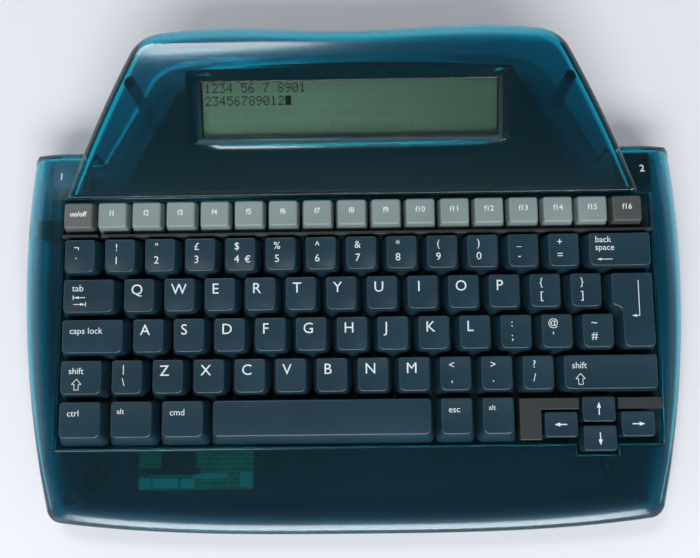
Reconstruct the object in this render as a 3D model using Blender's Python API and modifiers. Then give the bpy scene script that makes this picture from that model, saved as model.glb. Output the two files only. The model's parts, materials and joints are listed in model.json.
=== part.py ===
"""Electronic word processor: a translucent keyboard slab with a raised display hump.

World frame: X to the right, Y to the rear, Z up, origin under the middle of the case on the
surface that the feet stand on. All lengths are in metres.
"""
from math import asin, atan, cos, hypot, pi, radians, sin, tan

import bmesh
import bpy
from mathutils import Vector

MM = 0.001

# Fits between pieces
contact_gap = 0.3 * MM
cut_overrun = 6 * MM
merge_distance = 0.01 * MM

# Key field, in units of one key pitch
key_pitch = 19.05 * MM
key_gap = 0.75 * MM
field_units = 14.75
key_travel = 3.5 * MM
field_shift = 2.3 * MM

# Key caps
cap_height = 8.5 * MM
cap_side_slope = 2.0 * MM
cap_rear_slope = 0.3 * MM
cap_front_slope = 2.6 * MM
cap_edge = 0.5 * MM
cap_wall = 1.3 * MM
cap_ceiling = 1.8 * MM
bottom_row_extra = 2.6 * MM
bottom_row_front_slope = 4.4 * MM
stem_width = 6.2 * MM
stem_reach = 5.1 * MM
link_width = 2.0 * MM
link_bite = 0.7 * MM
link_lift = 0.3 * MM
link_height = 0.8 * MM
neighbour_overlap_share = 0.4

# Function keys
function_count = 17
function_pitch = 16.37 * MM
function_width = 15.3 * MM
function_depth = 14.6 * MM
function_drop = 2.0 * MM
function_row_offset = 20.4 * MM
function_side_slope = 1.0 * MM
function_rear_slope = 0.6 * MM
function_front_slope = 1.9 * MM

# Arrow keys
arrow_width = 16.65 * MM
arrow_depth = 12.5 * MM
arrow_pitch = 17.5 * MM
arrow_row_pitch = 13.1 * MM
arrow_stagger = 6.8 * MM
arrow_margin = 4.1 * MM
arrow_slope = 0.9 * MM
arrow_drop = 0.8 * MM

# Keyboard frame with its wells, rubber dome sheet and steel backplate
press_room = 0.4 * MM
frame_margin = 1.6 * MM
well_clearance = 0.4 * MM
rail_width = 1.6 * MM
rail_drop = 3.0 * MM
rail_root = 1.0 * MM
rail_break = 1.4 * MM
filler_drop = 1.5 * MM
filler_depth = 5.2 * MM
filler_gap = 0.6 * MM
filler_front_inset = 1.2 * MM
dome_height = 3.6 * MM
dome_base_width = 6.4 * MM
dome_top_width = 4.2 * MM
dome_sides = 6
sheet_thickness = 0.6 * MM
sheet_root = 0.3 * MM
backplate_thickness = 1.0 * MM
keyboard_room = 2.034 * MM

# Opening round the key field
field_gap = 0.6 * MM
opening_front_gap = 1.0 * MM
opening_rear_gap = 2.0 * MM
opening_wall = 1.8 * MM
rim_drop = 5.5 * MM

# Case
side_rim = 19.2 * MM
front_strip = 39.35 * MM
hump_depth = 84.0 * MM
key_top_height = 33.0 * MM
foot_height = 1.2 * MM
case_wall = 2.2 * MM
floor_thickness = 2.6 * MM
parting_height = 12.0 * MM
upright_band = 2.0 * MM
side_bow_radius = 484 * MM
side_bow_setback = 141 * MM
front_bow = 6.5 * MM
front_bow_power = 3
front_corner_inset = 19.3 * MM
front_corner_radius = 8 * MM
side_roll = 14 * MM
shoulder_roll = 8 * MM
front_roll = 15.75 * MM
rear_roll = 3 * MM
shoulder_depth = 25.6 * MM
shoulder_fall = 3.1 * MM
shoulder_corner_radius = 4.5 * MM
shoulder_bow = 2.2 * MM
shoulder_bow_width = 20 * MM
shoulder_side_shares = (0.3, 0.6)
shoulder_rear_shares = (0.5, 1.0)
tuck_in = 7 * MM
tuck_height = 5 * MM
roll_steps = 4
corner_steps = 4
side_steps = 8
front_steps = 5

# Display hump
hump_rise_power = 1.5
hump_foot_step = 0.8 * MM
hump_front_inset = 20.6 * MM
hump_side_lean = 0.495
hump_side_roll = 4.5 * MM
hump_front_roll = 1.0 * MM
hump_rear_roll = 13 * MM
hump_corner_radius = 23 * MM
hump_inner_corner_radius = 11 * MM
lobe_spacing = 124 * MM
lobe_dip = 4.0 * MM
lobe_end = 91 * MM
lobe_end_fall = 3.4 * MM
lobe_steps = 8
hump_side_steps = 10

# Display
display_slope = radians(21)
display_width = 143.4 * MM
display_depth = 26.8 * MM
display_share = 0.484
display_drop = 8.7 * MM
display_bay_room = 4.3 * MM
recess_front_gap = 1.4 * MM
recess_front_spread = 5.7 * MM
recess_tip_spread = 8.4 * MM
recess_tip_reach = 4.1 * MM
recess_arch = 7.1 * MM
recess_lift = 0.2 * MM
arch_steps = 8
window_margin = 2.2 * MM
window_thickness = 1.0 * MM
bezel_margin = 5.0 * MM
bezel_thickness = 2.4 * MM
panel_margin = 4.0 * MM
panel_thickness = 4.0 * MM
display_board_margin = 4.6 * MM
board_thickness = 1.2 * MM

# Screw bosses
boss_radius = 3.0 * MM
boss_bore_radius = 1.2 * MM
boss_bore_depth = 6 * MM
boss_sides = 10
corner_boss_inset = 28.1 * MM
corner_boss_setback = 16.2 * MM
hump_boss_inset = 8.0 * MM
hump_boss_setback = 30.7 * MM
row_boss_setback = 9.0 * MM
row_boss_spacing = 80 * MM
row_boss_count = 4

# Sockets
socket_width = 14.5 * MM
socket_depth = 14 * MM
socket_roof_gap = 1.75 * MM
socket_bore_share = 0.823
socket_bore_depth = 9 * MM
socket_window_width = 11.4 * MM
socket_sill = 0.5 * MM
socket_inset = 20.3 * MM
socket_lift = 0.6 * MM
socket_face_gap = 1.0 * MM
jack_roof_gap = 4.975 * MM
jack_length = 13 * MM
jack_bore_share = 0.711
jack_bore_depth = 9.5 * MM
jack_window_share = 0.822
jack_setback = 12.3 * MM
jack_recess = 6.4 * MM
socket_sides = 12

# Batteries, their bay and its cover
battery_diameter = 14.5 * MM
battery_length = 50.5 * MM
battery_nub_radius = 2.75 * MM
battery_nub_length = 1.2 * MM
battery_edge = 0.8 * MM
battery_count = 3
battery_sides = 16
contact_room = 1.6 * MM
bay_wall = 1.8 * MM
bay_offset = 50 * MM
bay_setback = 41 * MM
cover_thickness = 1.4 * MM
cover_ledge = 2.5 * MM
cover_travel = 8 * MM

# Main board, support ribs and feet
board_width = 55 * MM
board_depth = 80 * MM
board_side_inset = 57.3 * MM
board_setback = 20 * MM
rib_thickness = 2 * MM
rib_inset = 20 * MM
rib_end_inset = 6 * MM
foot_radius = 6 * MM
foot_pocket = 0.8 * MM
foot_sides = 20
front_foot_inset = 35.3 * MM
front_foot_setback = 26 * MM
rear_foot_inset = 66.3 * MM
rear_foot_setback = 24.8 * MM

# Places that follow from the sizes above
field_width = field_units * key_pitch
field_half = field_width / 2
cap_depth = key_pitch - key_gap
bottom_row = -4 * key_pitch
bottom_front = bottom_row - cap_depth / 2 - bottom_row_extra
bay_ceiling = foot_height + cover_thickness + battery_diameter + 2 * contact_gap
opening_half = field_half + field_gap
opening_front = bottom_front - opening_front_gap
opening_rear = function_row_offset + function_depth / 2 + opening_rear_gap
cap_base = -cap_height
frame_top = cap_base - key_travel - press_room
stem_end = cap_base - stem_reach
dome_top = stem_end - contact_gap
dome_floor = dome_top - dome_height
sheet_bottom = dome_floor - sheet_thickness
backplate_top = sheet_bottom - contact_gap
backplate_bottom = backplate_top - backplate_thickness
well_width = stem_width + 2 * well_clearance
floor_top = foot_height + floor_thickness
upper_bottom = parting_height + contact_gap
frame_bottom = dome_floor + contact_gap

# The keyboard slopes from the key tops' height down to its room above the floor at the front
stack_depth = -backplate_bottom
stack_front = -(opening_front - opening_front_gap)
stack_rise = key_top_height - floor_top - keyboard_room
keyboard_slope = asin(stack_rise / hypot(stack_front, stack_depth)) - atan(stack_depth / stack_front)

opening_run = (opening_rear - opening_front) * cos(keyboard_slope)
case_half = opening_half + side_rim
case_half_depth = (front_strip + opening_run + hump_depth) / 2
hump_front = case_half_depth - hump_depth
number_row_y = hump_front - opening_rear * cos(keyboard_slope) - rim_drop * sin(keyboard_slope)
shoulder_rear = hump_front + shoulder_depth
widest_y = -case_half_depth + side_bow_setback
hump_front_half = case_half - hump_front_inset
crest_y = case_half_depth - hump_rear_roll
rim_number_height = key_top_height - rim_drop * cos(keyboard_slope)

# The display stands clear of the battery bay, and the hump's crest stands above the display
display_stack = case_wall + window_thickness + bezel_thickness + panel_thickness + board_thickness
display_stack += 4 * contact_gap
display_reach = display_depth / 2 + display_board_margin
display_y = hump_front + display_share * hump_depth
display_z = bay_ceiling + bay_wall + display_bay_room
display_z += display_reach * sin(display_slope) + display_stack * cos(display_slope)
crest_height = display_z + display_drop

arrow_right = field_half - arrow_margin - arrow_width / 2
arrow_up_row = bottom_row + cap_depth / 2 - arrow_depth / 2
arrow_columns = (arrow_right - 2 * arrow_pitch, arrow_right - arrow_pitch, arrow_right)
arrow_rows = (arrow_up_row, arrow_up_row - arrow_stagger, arrow_up_row - arrow_row_pitch)
arrow_notch_front = arrow_rows[2] - arrow_depth / 2 - opening_front_gap

for old in list(bpy.data.objects):
    bpy.data.objects.remove(old, do_unlink=True)

parts = bpy.data.collections.new("electronic_word_processor")
cutters = bpy.data.collections.new("cutters")
bpy.context.scene.collection.children.link(parts)
bpy.context.scene.collection.children.link(cutters)


# Small helpers for meshes, objects and materials

def material(name, colour, roughness, metallic=0.0, transmission=0.0):
    """A Principled material; colour is linear red, green, blue."""
    made = bpy.data.materials.new(name)
    made.use_nodes = True
    shader = made.node_tree.nodes["Principled BSDF"]
    shader.inputs["Base Color"].default_value = (*colour, 1.0)
    shader.inputs["Roughness"].default_value = roughness
    shader.inputs["Metallic"].default_value = metallic
    shader.inputs["Transmission Weight"].default_value = transmission
    made.diffuse_color = (*colour, 1.0)
    made.roughness = roughness
    made.metallic = metallic
    return made


def add_object(name, bm, place=(0, 0, 0), parent=None, surface=None, smooth=radians(35)):
    """Turn a bmesh into an object; without a surface it is a cutter."""
    bmesh.ops.remove_doubles(bm, verts=bm.verts, dist=merge_distance)
    bmesh.ops.recalc_face_normals(bm, faces=bm.faces)
    mesh = bpy.data.meshes.new(name)
    bm.to_mesh(mesh)
    bm.free()
    mesh.shade_smooth()
    mesh.set_sharp_from_angle(angle=smooth)
    made = bpy.data.objects.new(name, mesh)
    made.location = place
    made.parent = parent
    if surface:
        mesh.materials.append(surface)
        parts.objects.link(made)
    else:
        made.display_type = 'WIRE'
        made.hide_render = True
        cutters.objects.link(made)
    return made


def combine(target, other, operation):
    """Join or cut the target with another object."""
    change = target.modifiers.new(other.name, 'BOOLEAN')
    change.operation = operation
    change.object = other
    change.solver = 'EXACT'


def add_box(bm, low, high):
    """A box between two corners, from the cube primitive."""
    low, high = Vector(low), Vector(high)
    cube = bmesh.ops.create_cube(bm, size=1.0)["verts"]
    bmesh.ops.scale(bm, vec=high - low, verts=cube)
    bmesh.ops.translate(bm, vec=(low + high) / 2, verts=cube)
    return cube


def add_post(bm, centre, low, high, radius, sides, top_radius=None):
    """An upright round post, or a cone where the top radius differs."""
    post = bmesh.ops.create_cone(
        bm, cap_ends=True, segments=sides, radius1=radius,
        radius2=radius if top_radius is None else top_radius, depth=high - low)["verts"]
    bmesh.ops.translate(bm, vec=(centre[0], centre[1], (low + high) / 2), verts=post)
    return post


def lay_along(bm, verts, centre, axis):
    """Turn an upright post at the origin so that it lies along X or Y, then place it."""
    turn = Vector((0, 0, 1)).rotation_difference(Vector(axis)).to_matrix()
    bmesh.ops.rotate(bm, matrix=turn, cent=(0, 0, 0), verts=verts)
    bmesh.ops.translate(bm, vec=centre, verts=verts)


def loft(bm, rings, closed=True):
    """Skin a row of rings that have the same number of points; return their vertices."""
    loops = [[bm.verts.new(point) for point in ring] for ring in rings]
    count = len(loops[0])
    for low, high in zip(loops, loops[1:]):
        for i in range(count):
            j = (i + 1) % count
            bm.faces.new((low[i], low[j], high[j], high[i]))
    if closed:
        bm.faces.new(reversed(loops[0]))
        bm.faces.new(loops[-1])
    return loops


def loop_edges(bm, loop):
    """The edges along a closed loop of vertices, made where they are missing."""
    edges = []
    for a, b in zip(loop, loop[1:] + loop[:1]):
        edges.append(bm.edges.get((a, b)) or bm.edges.new((a, b)))
    return edges


def fillet(before, corner, after, radius, steps):
    """Points of a round corner between two straight stretches of a flat outline."""
    before, corner, after = Vector(before), Vector(corner), Vector(after)
    back = (before - corner).normalized()
    ahead = (after - corner).normalized()
    half_angle = back.angle(ahead) / 2
    radius = min(radius, (before - corner).length * tan(half_angle),
                 (after - corner).length * tan(half_angle))
    centre = corner + (back + ahead).normalized() * radius / sin(half_angle)
    start = corner + back * radius / tan(half_angle) - centre
    finish = corner + ahead * radius / tan(half_angle) - centre
    sweep = start.angle_signed(finish)
    turned = []
    for i in range(steps + 1):
        angle = -sweep * i / steps
        turned.append(centre + Vector((start.x * cos(angle) - start.y * sin(angle),
                                       start.x * sin(angle) + start.y * cos(angle))))
    return turned


def whole(right_half):
    """Mirror the right half of an outline, from its front middle to its rear middle."""
    left = [Vector((-point[0], point[1])) for point in right_half[-2:0:-1]]
    return [Vector(point) for point in right_half] + left


# Outline lines of the case, seen from above

def front_line(x):
    """Front edge: nearly straight in the middle and drawn back at the corners."""
    reach = case_half - front_corner_inset
    return -case_half_depth + front_bow * (abs(x) / reach) ** front_bow_power


def side_line(y):
    """Right edge: one long shallow arc, widest beside the number row."""
    return case_half - (y - widest_y) ** 2 / (2 * side_bow_radius)


def shoulder_line(x):
    """Rear edge of a shoulder, drawn forward towards its outer corner."""
    outer = max(x - (case_half - shoulder_bow_width), 0) / shoulder_bow_width
    return shoulder_rear - shoulder_bow * outer ** 2


def roll_width(y):
    """How far the side rolls over from its edge: less along the shoulders."""
    behind = min(max(y - hump_front, 0) / shoulder_depth, 1)
    return side_roll + (shoulder_roll - side_roll) * behind


def hump_side_line(y):
    """Right edge of the hump, which leans inwards to the rear."""
    return hump_front_half - hump_side_lean * (y - hump_front)


def rear_line(x, lobes=1.0):
    """Rear edge of the hump: two shallow lobes with a dip between them."""
    lobe = lobe_spacing / 2
    if abs(x) < lobe:
        fall = lobe_dip * cos(pi * x / lobe_spacing) ** 2
    else:
        fall = lobe_end_fall * ((abs(x) - lobe) / (lobe_end - lobe)) ** 2
    return case_half_depth - lobes * fall


def rim_height(y):
    """Height of the case's top beside the keys, and of the shoulders behind them."""
    behind = max(y - hump_front, 0)
    on_slope = (min(y, hump_front) - number_row_y) * tan(keyboard_slope)
    return rim_number_height + on_slope - shoulder_fall * behind / shoulder_depth


def hump_height(y):
    """Height of the hump's top surface: steep above the keys and level at the crest."""
    share = min(max((y - hump_front) / (crest_y - hump_front), 0), 1)
    foot = rim_height(hump_front) + hump_foot_step
    return foot + (crest_height - foot) * (1 - (1 - share) ** hump_rise_power)


def front_and_side(inset, front_in=0.0, side_in=0.0):
    """Right half of the slab's outline from the front middle to the side by the hump."""
    reach = case_half - front_corner_inset
    points = []
    for i in range(front_steps):
        x = reach * i / front_steps
        points.append(Vector((x * (case_half - side_in) / case_half,
                              front_line(x) + inset + front_in)))
    corner_x = side_line(front_line(reach)) - inset - side_in
    corner = Vector((corner_x, front_line(corner_x) + inset + front_in))
    side_start = corner.y + front_corner_radius * 2
    after = Vector((side_line(side_start) - inset - side_in, side_start))
    points += fillet(points[-1], corner, after, front_corner_radius, corner_steps)
    for i in range(1, side_steps + 1):
        y = side_start + (hump_front - side_start) * i / side_steps
        points.append(Vector((side_line(y) - inset - side_in, y)))
    return points


def shoulder_corner(inset, roll=0.0):
    """Outline of the right shoulder from its side round its corner to the hump's side."""
    rear_in = inset + roll * rear_roll
    edge = side_line(shoulder_rear) - inset - roll * shoulder_roll
    inner_x = case_half - shoulder_bow_width
    points = [Vector((side_line(y) - inset - roll * roll_width(y), y))
              for y in (hump_front + shoulder_depth * share for share in shoulder_side_shares)]
    corner = Vector((edge, shoulder_line(edge) - rear_in))
    after = Vector((edge - shoulder_bow_width / 2,
                    shoulder_line(edge - shoulder_bow_width / 2) - rear_in))
    points += fillet(points[-1], corner, after, shoulder_corner_radius, corner_steps)
    start = points[-1].x
    for share in shoulder_rear_shares:
        x = start + (inner_x - start) * share
        points.append(Vector((x, shoulder_line(x) - rear_in)))
    return points


def slab_plan(inset, roll=0.0):
    """Closed outline of the slab at one level; roll 1 is the edge of its flat top."""
    points = front_and_side(inset, roll * front_roll, roll * side_roll)
    points += shoulder_corner(inset, roll)
    points.append(Vector((0, shoulder_rear - inset - roll * rear_roll)))
    return whole(points)


def hump_side_and_rear(inset, start, roll=0.0):
    """Right half of the hump's outline from a place on its side to the rear middle."""
    lean = (1 + hump_side_lean ** 2) ** 0.5
    side_in = (inset + roll * hump_side_roll) * lean
    rear_in = inset + roll * hump_rear_roll
    lobes = 1 - roll
    last = Vector((lobe_end, rear_line(lobe_end, lobes) - rear_in))
    slope = -2 * lobes * lobe_end_fall / (lobe_end - lobe_spacing / 2)
    gap = hump_side_line(last.y) - side_in - last.x
    corner_x = last.x + gap / (1 + hump_side_lean * slope)
    corner = Vector((corner_x, last.y + slope * (corner_x - last.x)))
    radius = hump_corner_radius + (hump_inner_corner_radius - hump_corner_radius) * roll
    base = Vector((hump_side_line(start) - side_in, start))
    arc = fillet(base, corner, last, radius, corner_steps)
    points = []
    for i in range(hump_side_steps):
        y = start + (arc[0].y - start) * i / hump_side_steps
        points.append(Vector((hump_side_line(y) - side_in, y)))
    points += arc
    for i in range(1, lobe_steps + 1):
        x = lobe_end * (1 - i / lobe_steps)
        points.append(Vector((x, rear_line(x, lobes) - rear_in)))
    return points


def hump_plan(inset, roll=0.0):
    """Closed outline of the hump at one level; roll 1 is the edge of its top surface."""
    start = hump_front + inset + roll * hump_front_roll
    return whole([Vector((0, start))] + hump_side_and_rear(inset, start, roll))


def case_plan(inset):
    """Closed outline of slab and hump together, for the lower case."""
    points = front_and_side(inset) + shoulder_corner(inset)
    points += hump_side_and_rear(inset, shoulder_rear - inset)
    return whole(points)


def rolled_rings(outer, inner, top_height, bands):
    """Rings that roll from an upright wall over to the edge of a top surface."""
    rings = []
    for k in range(roll_steps + 1):
        angle = radians(90) * k / roll_steps
        ring = []
        for far, near, band in zip(outer, inner, bands):
            flat = near + (far - near) * cos(angle)
            drop = band * (1 - sin(angle))
            ring.append(Vector((flat.x, flat.y, top_height(near.y) - drop)))
        rings.append(ring)
    return rings


def split_top(bm, ring, count):
    """Divide the top face across, between mirrored points of its edge behind the front."""
    for i in range(2, count):
        left, right = ring[i], ring[-i]
        if abs(left.co.y - ring[i + 1].co.y) > merge_distance:
            shared = [face for face in left.link_faces if right in face.verts]
            if shared and not bm.edges.get((left, right)):
                bmesh.utils.face_split(shared[0], left, right)


def slab_solid(name, inset, low):
    """The keyboard slab down to a given level, as one closed solid."""
    drop = case_wall if inset else 0

    outer, inner = slab_plan(inset), slab_plan(inset, 1.0)
    tall_points = front_steps + corner_steps + 1 + side_steps + len(shoulder_side_shares)
    shares = [1.0] * tall_points + [1 - i / corner_steps for i in range(corner_steps + 1)]
    shares += [0.0] * (len(shoulder_rear_shares) + 1)
    shares += shares[-2:0:-1]
    bands = []
    for near, share in zip(inner, shares):
        tall = rim_height(near.y) - drop - parting_height - upright_band
        bands.append(rear_roll + (tall - rear_roll) * share)
    rings = [[Vector((p.x, p.y, low)) for p in outer]]
    rings += rolled_rings(outer, inner, lambda y: rim_height(y) - drop, bands)
    bm = bmesh.new()
    loops = loft(bm, rings)
    kink = next(i for i, v in enumerate(loops[-1]) if abs(v.co.y - hump_front) < merge_distance)
    shared = [face for face in loops[-1][kink].link_faces if loops[-1][-kink] in face.verts]
    bmesh.utils.face_split(shared[0], loops[-1][kink], loops[-1][-kink])
    return add_object(name, bm)


def hump_solid(name, inset, low):
    """The display hump down to a given level, as one closed solid."""
    drop = case_wall if inset else 0

    outer, inner = hump_plan(inset), hump_plan(inset, 1.0)
    bands = [(far - near).length for far, near in zip(outer, inner)]
    rings = [[Vector((p.x, p.y, low)) for p in outer]]
    rings += rolled_rings(outer, inner, lambda y: hump_height(y) - drop, bands)
    bm = bmesh.new()
    loops = loft(bm, rings)
    split_top(bm, loops[-1], hump_side_steps + corner_steps + 1)
    return add_object(name, bm)


# Frames that carry the sloping keyboard and the sloping display

key_frame = bpy.data.objects.new("key_frame", None)
key_frame.location = (field_shift, number_row_y, key_top_height)
key_frame.rotation_euler = (keyboard_slope, 0, 0)
cutters.objects.link(key_frame)

display_frame = bpy.data.objects.new("display_frame", None)
display_frame.location = (0, display_y, display_z)
display_frame.rotation_euler = (display_slope, 0, 0)
cutters.objects.link(display_frame)


def key_frame_height(y, depth):
    """World height of a plane that lies a given depth under the key tops."""
    return key_top_height + (y - number_row_y) * tan(keyboard_slope) - depth / cos(keyboard_slope)


# Key layout: one list per row of (node, width in units)

letters_top = [("key_" + letter, 1) for letter in "qwertyuiop"]
letters_home = [("key_" + letter, 1) for letter in "asdfghjkl"]
letters_low = [("key_" + letter, 1) for letter in "zxcvbnm"]
symbol, modifier, escape = "symbol_key_bank", "modifier_key_bank", "escape_key_bank"
key_rows = (
    [("number_key_bank", 1)] * 13 + [("key_backspace", 1.75)],
    [("key_tab", 1.5)] + letters_top + [(symbol, 1)] * 2 + [("key_enter", 1.25)],
    [("key_caps_lock", 1.75)] + letters_home + [(symbol, 1)] * 3 + [("key_enter", 1)],
    [("key_shift_left", 1.25), (modifier, 1)] + letters_low + [(symbol, 1)] * 3
    + [("key_shift_right", 2.5)],
    [(modifier, 1.25)] * 3 + [("key_space", 5.5)] + [(escape, 1)] * 2,
)


def key_cells():
    """Every cap as (node, kind, left, front, right, rear) on the key plane."""
    cells = []
    for row, keys in enumerate(key_rows):
        left = -field_half
        for node, units in keys:
            right = left + units * key_pitch
            middle = -row * key_pitch
            kind = "bottom" if row == len(key_rows) - 1 else "main"
            front = middle - cap_depth / 2 - (bottom_row_extra if kind == "bottom" else 0)
            cells.append((node, kind, left + key_gap / 2, front, right - key_gap / 2,
                          middle + cap_depth / 2))
            left = right
    for i in range(function_count):
        middle = (i - (function_count - 1) / 2) * function_pitch
        cells.append(("function_key_bank", "function", middle - function_width / 2,
                      function_row_offset - function_depth / 2, middle + function_width / 2,
                      function_row_offset + function_depth / 2))
    for column, row in ((0, 1), (1, 0), (1, 2), (2, 1)):
        u, v = arrow_columns[column], arrow_rows[row]
        cells.append(("arrow_key_bank", "arrow", u - arrow_width / 2, v - arrow_depth / 2,
                      u + arrow_width / 2, v + arrow_depth / 2))
    return cells


slopes = {
    "main": (cap_side_slope, cap_rear_slope, cap_front_slope, 0),
    "bottom": (cap_side_slope, cap_rear_slope, bottom_row_front_slope, 0),
    "function": (function_side_slope, function_rear_slope, function_front_slope, function_drop),
    "arrow": (arrow_slope, cap_rear_slope, arrow_slope, arrow_drop),
}


def key_groups():
    """Cells gathered by node, as (kind, outline, stem centre)."""
    groups = {}
    for node, kind, left, front, right, rear in key_cells():
        outline = [(left, front), (right, front), (right, rear), (left, rear)]
        stem = ((left + right) / 2, (rear - cap_depth / 2 if kind == "bottom"
                                     else (front + rear) / 2))
        groups.setdefault(node, []).append((kind, outline, stem))
    (_, upper, _), (kind, lower, _) = groups["key_enter"]
    joined = [lower[0], lower[1], upper[2], upper[3], upper[0], (lower[0][0], upper[0][1])]
    stem = ((lower[0][0] + lower[1][0]) / 2, (lower[0][1] + upper[2][1]) / 2)
    groups["key_enter"] = [(kind, joined, stem)]
    return groups


def drawn_in(outline, side, rear, front):
    """Move every edge of a square-cornered outline inwards by its own slope."""
    moved = []
    for i, (u, v) in enumerate(outline):
        for a, b in ((outline[i - 1], (u, v)), ((u, v), outline[(i + 1) % len(outline)])):
            du, dv = b[0] - a[0], b[1] - a[1]
            if abs(dv) > abs(du):
                u -= side if dv > 0 else -side
            else:
                v += front if du > 0 else -rear
        moved.append((u, v))
    return moved


def add_cap(bm, kind, outline, stem):
    """A hollow key cap with its stem, open underneath."""
    side, rear, front, drop = slopes[kind]
    height = cap_height - drop
    share = (height - cap_ceiling) / height

    def level(points, w):
        return [Vector((u, v, w)) for u, v in points]

    walls = (side * share + cap_wall, rear * share + cap_wall, front * share + cap_wall)
    ceiling = level(drawn_in(outline, *walls), cap_base + height - cap_ceiling)
    mouth = level(drawn_in(outline, cap_wall, cap_wall, cap_wall), cap_base)
    foot = level(outline, cap_base)
    top = level(drawn_in(outline, side, rear, front), cap_base + height)
    loops = loft(bm, [ceiling, mouth, foot, top], closed=False)
    bm.faces.new(loops[-1])
    half = stem_width / 2
    square = [(stem[0] - half, stem[1] - half), (stem[0] + half, stem[1] - half),
              (stem[0] + half, stem[1] + half), (stem[0] - half, stem[1] + half)]
    root = level(square, cap_base + height - cap_ceiling)
    stem_loops = loft(bm, [root, level(square, stem_end)], closed=False)
    bm.faces.new(stem_loops[-1])
    hollow = loop_edges(bm, loops[0]) + loop_edges(bm, stem_loops[0])
    bmesh.ops.triangle_fill(bm, edges=hollow, use_beauty=True, use_dissolve=False)
    bmesh.ops.bevel(bm, geom=loop_edges(bm, loops[-1]), offset=cap_edge, segments=1,
                    affect='EDGES', profile=0.5)


def add_links(bm, outlines):
    """Thin webs at the skirts that join neighbouring caps of one bank."""
    boxes = [(o[0][0], o[0][1], o[2][0], o[2][1]) for o in outlines]
    reach = neighbour_overlap_share * arrow_depth
    for i, a in enumerate(boxes):
        for b in boxes[i + 1:]:
            over_u = (max(a[0], b[0]), min(a[2], b[2]))
            over_v = (max(a[1], b[1]), min(a[3], b[3]))
            gap_u, gap_v = over_u[0] - over_u[1], over_v[0] - over_v[1]
            low, high = cap_base + link_lift, cap_base + link_lift + link_height
            half = link_width / 2
            if 0 < gap_u < link_width and -gap_v > reach:
                middle = (over_v[0] + over_v[1]) / 2
                add_box(bm, (over_u[1] - link_bite, middle - half, low),
                        (over_u[0] + link_bite, middle + half, high))
            elif 0 < gap_v < link_width and -gap_u > reach:
                middle = (over_u[0] + over_u[1]) / 2
                add_box(bm, (middle - half, over_v[1] - link_bite, low),
                        (middle + half, over_v[0] + link_bite, high))


def make_keys(groups):
    """One object for each key, or for each bank of caps that one web joins."""
    dark = material("key_plastic", (0.025, 0.06, 0.085), 0.45)
    grey = material("function_key_plastic", (0.31, 0.36, 0.36), 0.45)
    for node, caps in groups.items():
        origin = Vector((*caps[0][2], 0))
        bm = bmesh.new()
        for kind, outline, stem in caps:
            add_cap(bm, kind, outline, stem)
        bmesh.ops.translate(bm, vec=-origin, verts=bm.verts)
        surface = grey if node == "function_key_bank" else dark
        key = add_object(node, bm, origin, key_frame, surface)
        if len(caps) > 1:
            webs = bmesh.new()
            add_links(webs, [outline for _, outline, _ in caps])
            combine(key, add_object(node + "_webs", webs, (0, 0, 0), key_frame), 'UNION')


# Keyboard frame, dome sheet and backplate

def frame_outline():
    """Outline of the frame's plate, with a tab under the lowest arrow key."""
    half = opening_half + frame_margin
    front = opening_front - opening_front_gap
    tab_front = arrow_notch_front - opening_front_gap
    tab_half = arrow_width / 2 + frame_margin
    middle = arrow_columns[1]
    return [(-half, front), (middle - tab_half, front), (middle - tab_half, tab_front),
            (middle + tab_half, tab_front), (middle + tab_half, front), (half, front),
            (half, opening_rear), (-half, opening_rear)]


def make_keyboard_frame(stems):
    """The black plate whose wells guide the key stems, with its rail and fillers."""
    bm = bmesh.new()
    half = well_width / 2
    edges = []
    outlines = [frame_outline()]
    for u, v in stems:
        outlines.append([(u - half, v - half), (u + half, v - half),
                         (u + half, v + half), (u - half, v + half)])
    for outline in outlines:
        edges += loop_edges(bm, [bm.verts.new((u, v, frame_top)) for u, v in outline])
    bmesh.ops.triangle_fill(bm, edges=edges, use_beauty=True, use_dissolve=False,
                            normal=(0, 0, 1))
    bmesh.ops.recalc_face_normals(bm, faces=bm.faces)
    if next(iter(bm.faces)).normal.z < 0:
        bmesh.ops.reverse_faces(bm, faces=bm.faces)
    mesh = bpy.data.meshes.new("keyboard_frame")
    bm.to_mesh(mesh)
    bm.free()
    frame = bpy.data.objects.new("keyboard_frame", mesh)
    frame.parent = key_frame
    mesh.materials.append(material("frame_plastic", (0.012, 0.014, 0.014), 0.5))
    parts.objects.link(frame)
    plate = frame.modifiers.new("plate", 'SOLIDIFY')
    plate.thickness = frame_top - frame_bottom
    plate.offset = -1
    bm = bmesh.new()
    low = frame_top - rail_root
    number_rear = cap_depth / 2
    function_front = function_row_offset - function_depth / 2
    middle = (number_rear + function_front) / 2
    split = (1 - function_count / 2) * function_pitch
    for left, right in ((-field_half, split - rail_break / 2), (split + rail_break / 2, field_half)):
        add_box(bm, (left, middle - rail_width / 2, low),
                (right, middle + rail_width / 2, -rail_drop))
    left = bottom_row_right + key_gap
    rear = bottom_row + cap_depth / 2 - key_gap
    up_left = arrow_columns[1] - arrow_width / 2 - filler_gap
    arm_right = arrow_columns[0] - arrow_width / 2 - filler_gap
    bar_front = rear - filler_depth
    arm_front = bottom_front + filler_front_inset
    bar = [(left, arm_front), (arm_right, arm_front), (arm_right, bar_front),
           (up_left, bar_front), (up_left, rear), (left, rear)]
    loft(bm, [[(u, v, low) for u, v in bar], [(u, v, -filler_drop) for u, v in bar]])
    add_box(bm, (arrow_columns[1] + arrow_width / 2 + filler_gap, bar_front, low),
            (field_half - filler_gap, rear, -filler_drop))
    combine(frame, add_object("rail_and_fillers", bm, (0, 0, 0), key_frame), 'UNION')


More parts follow.
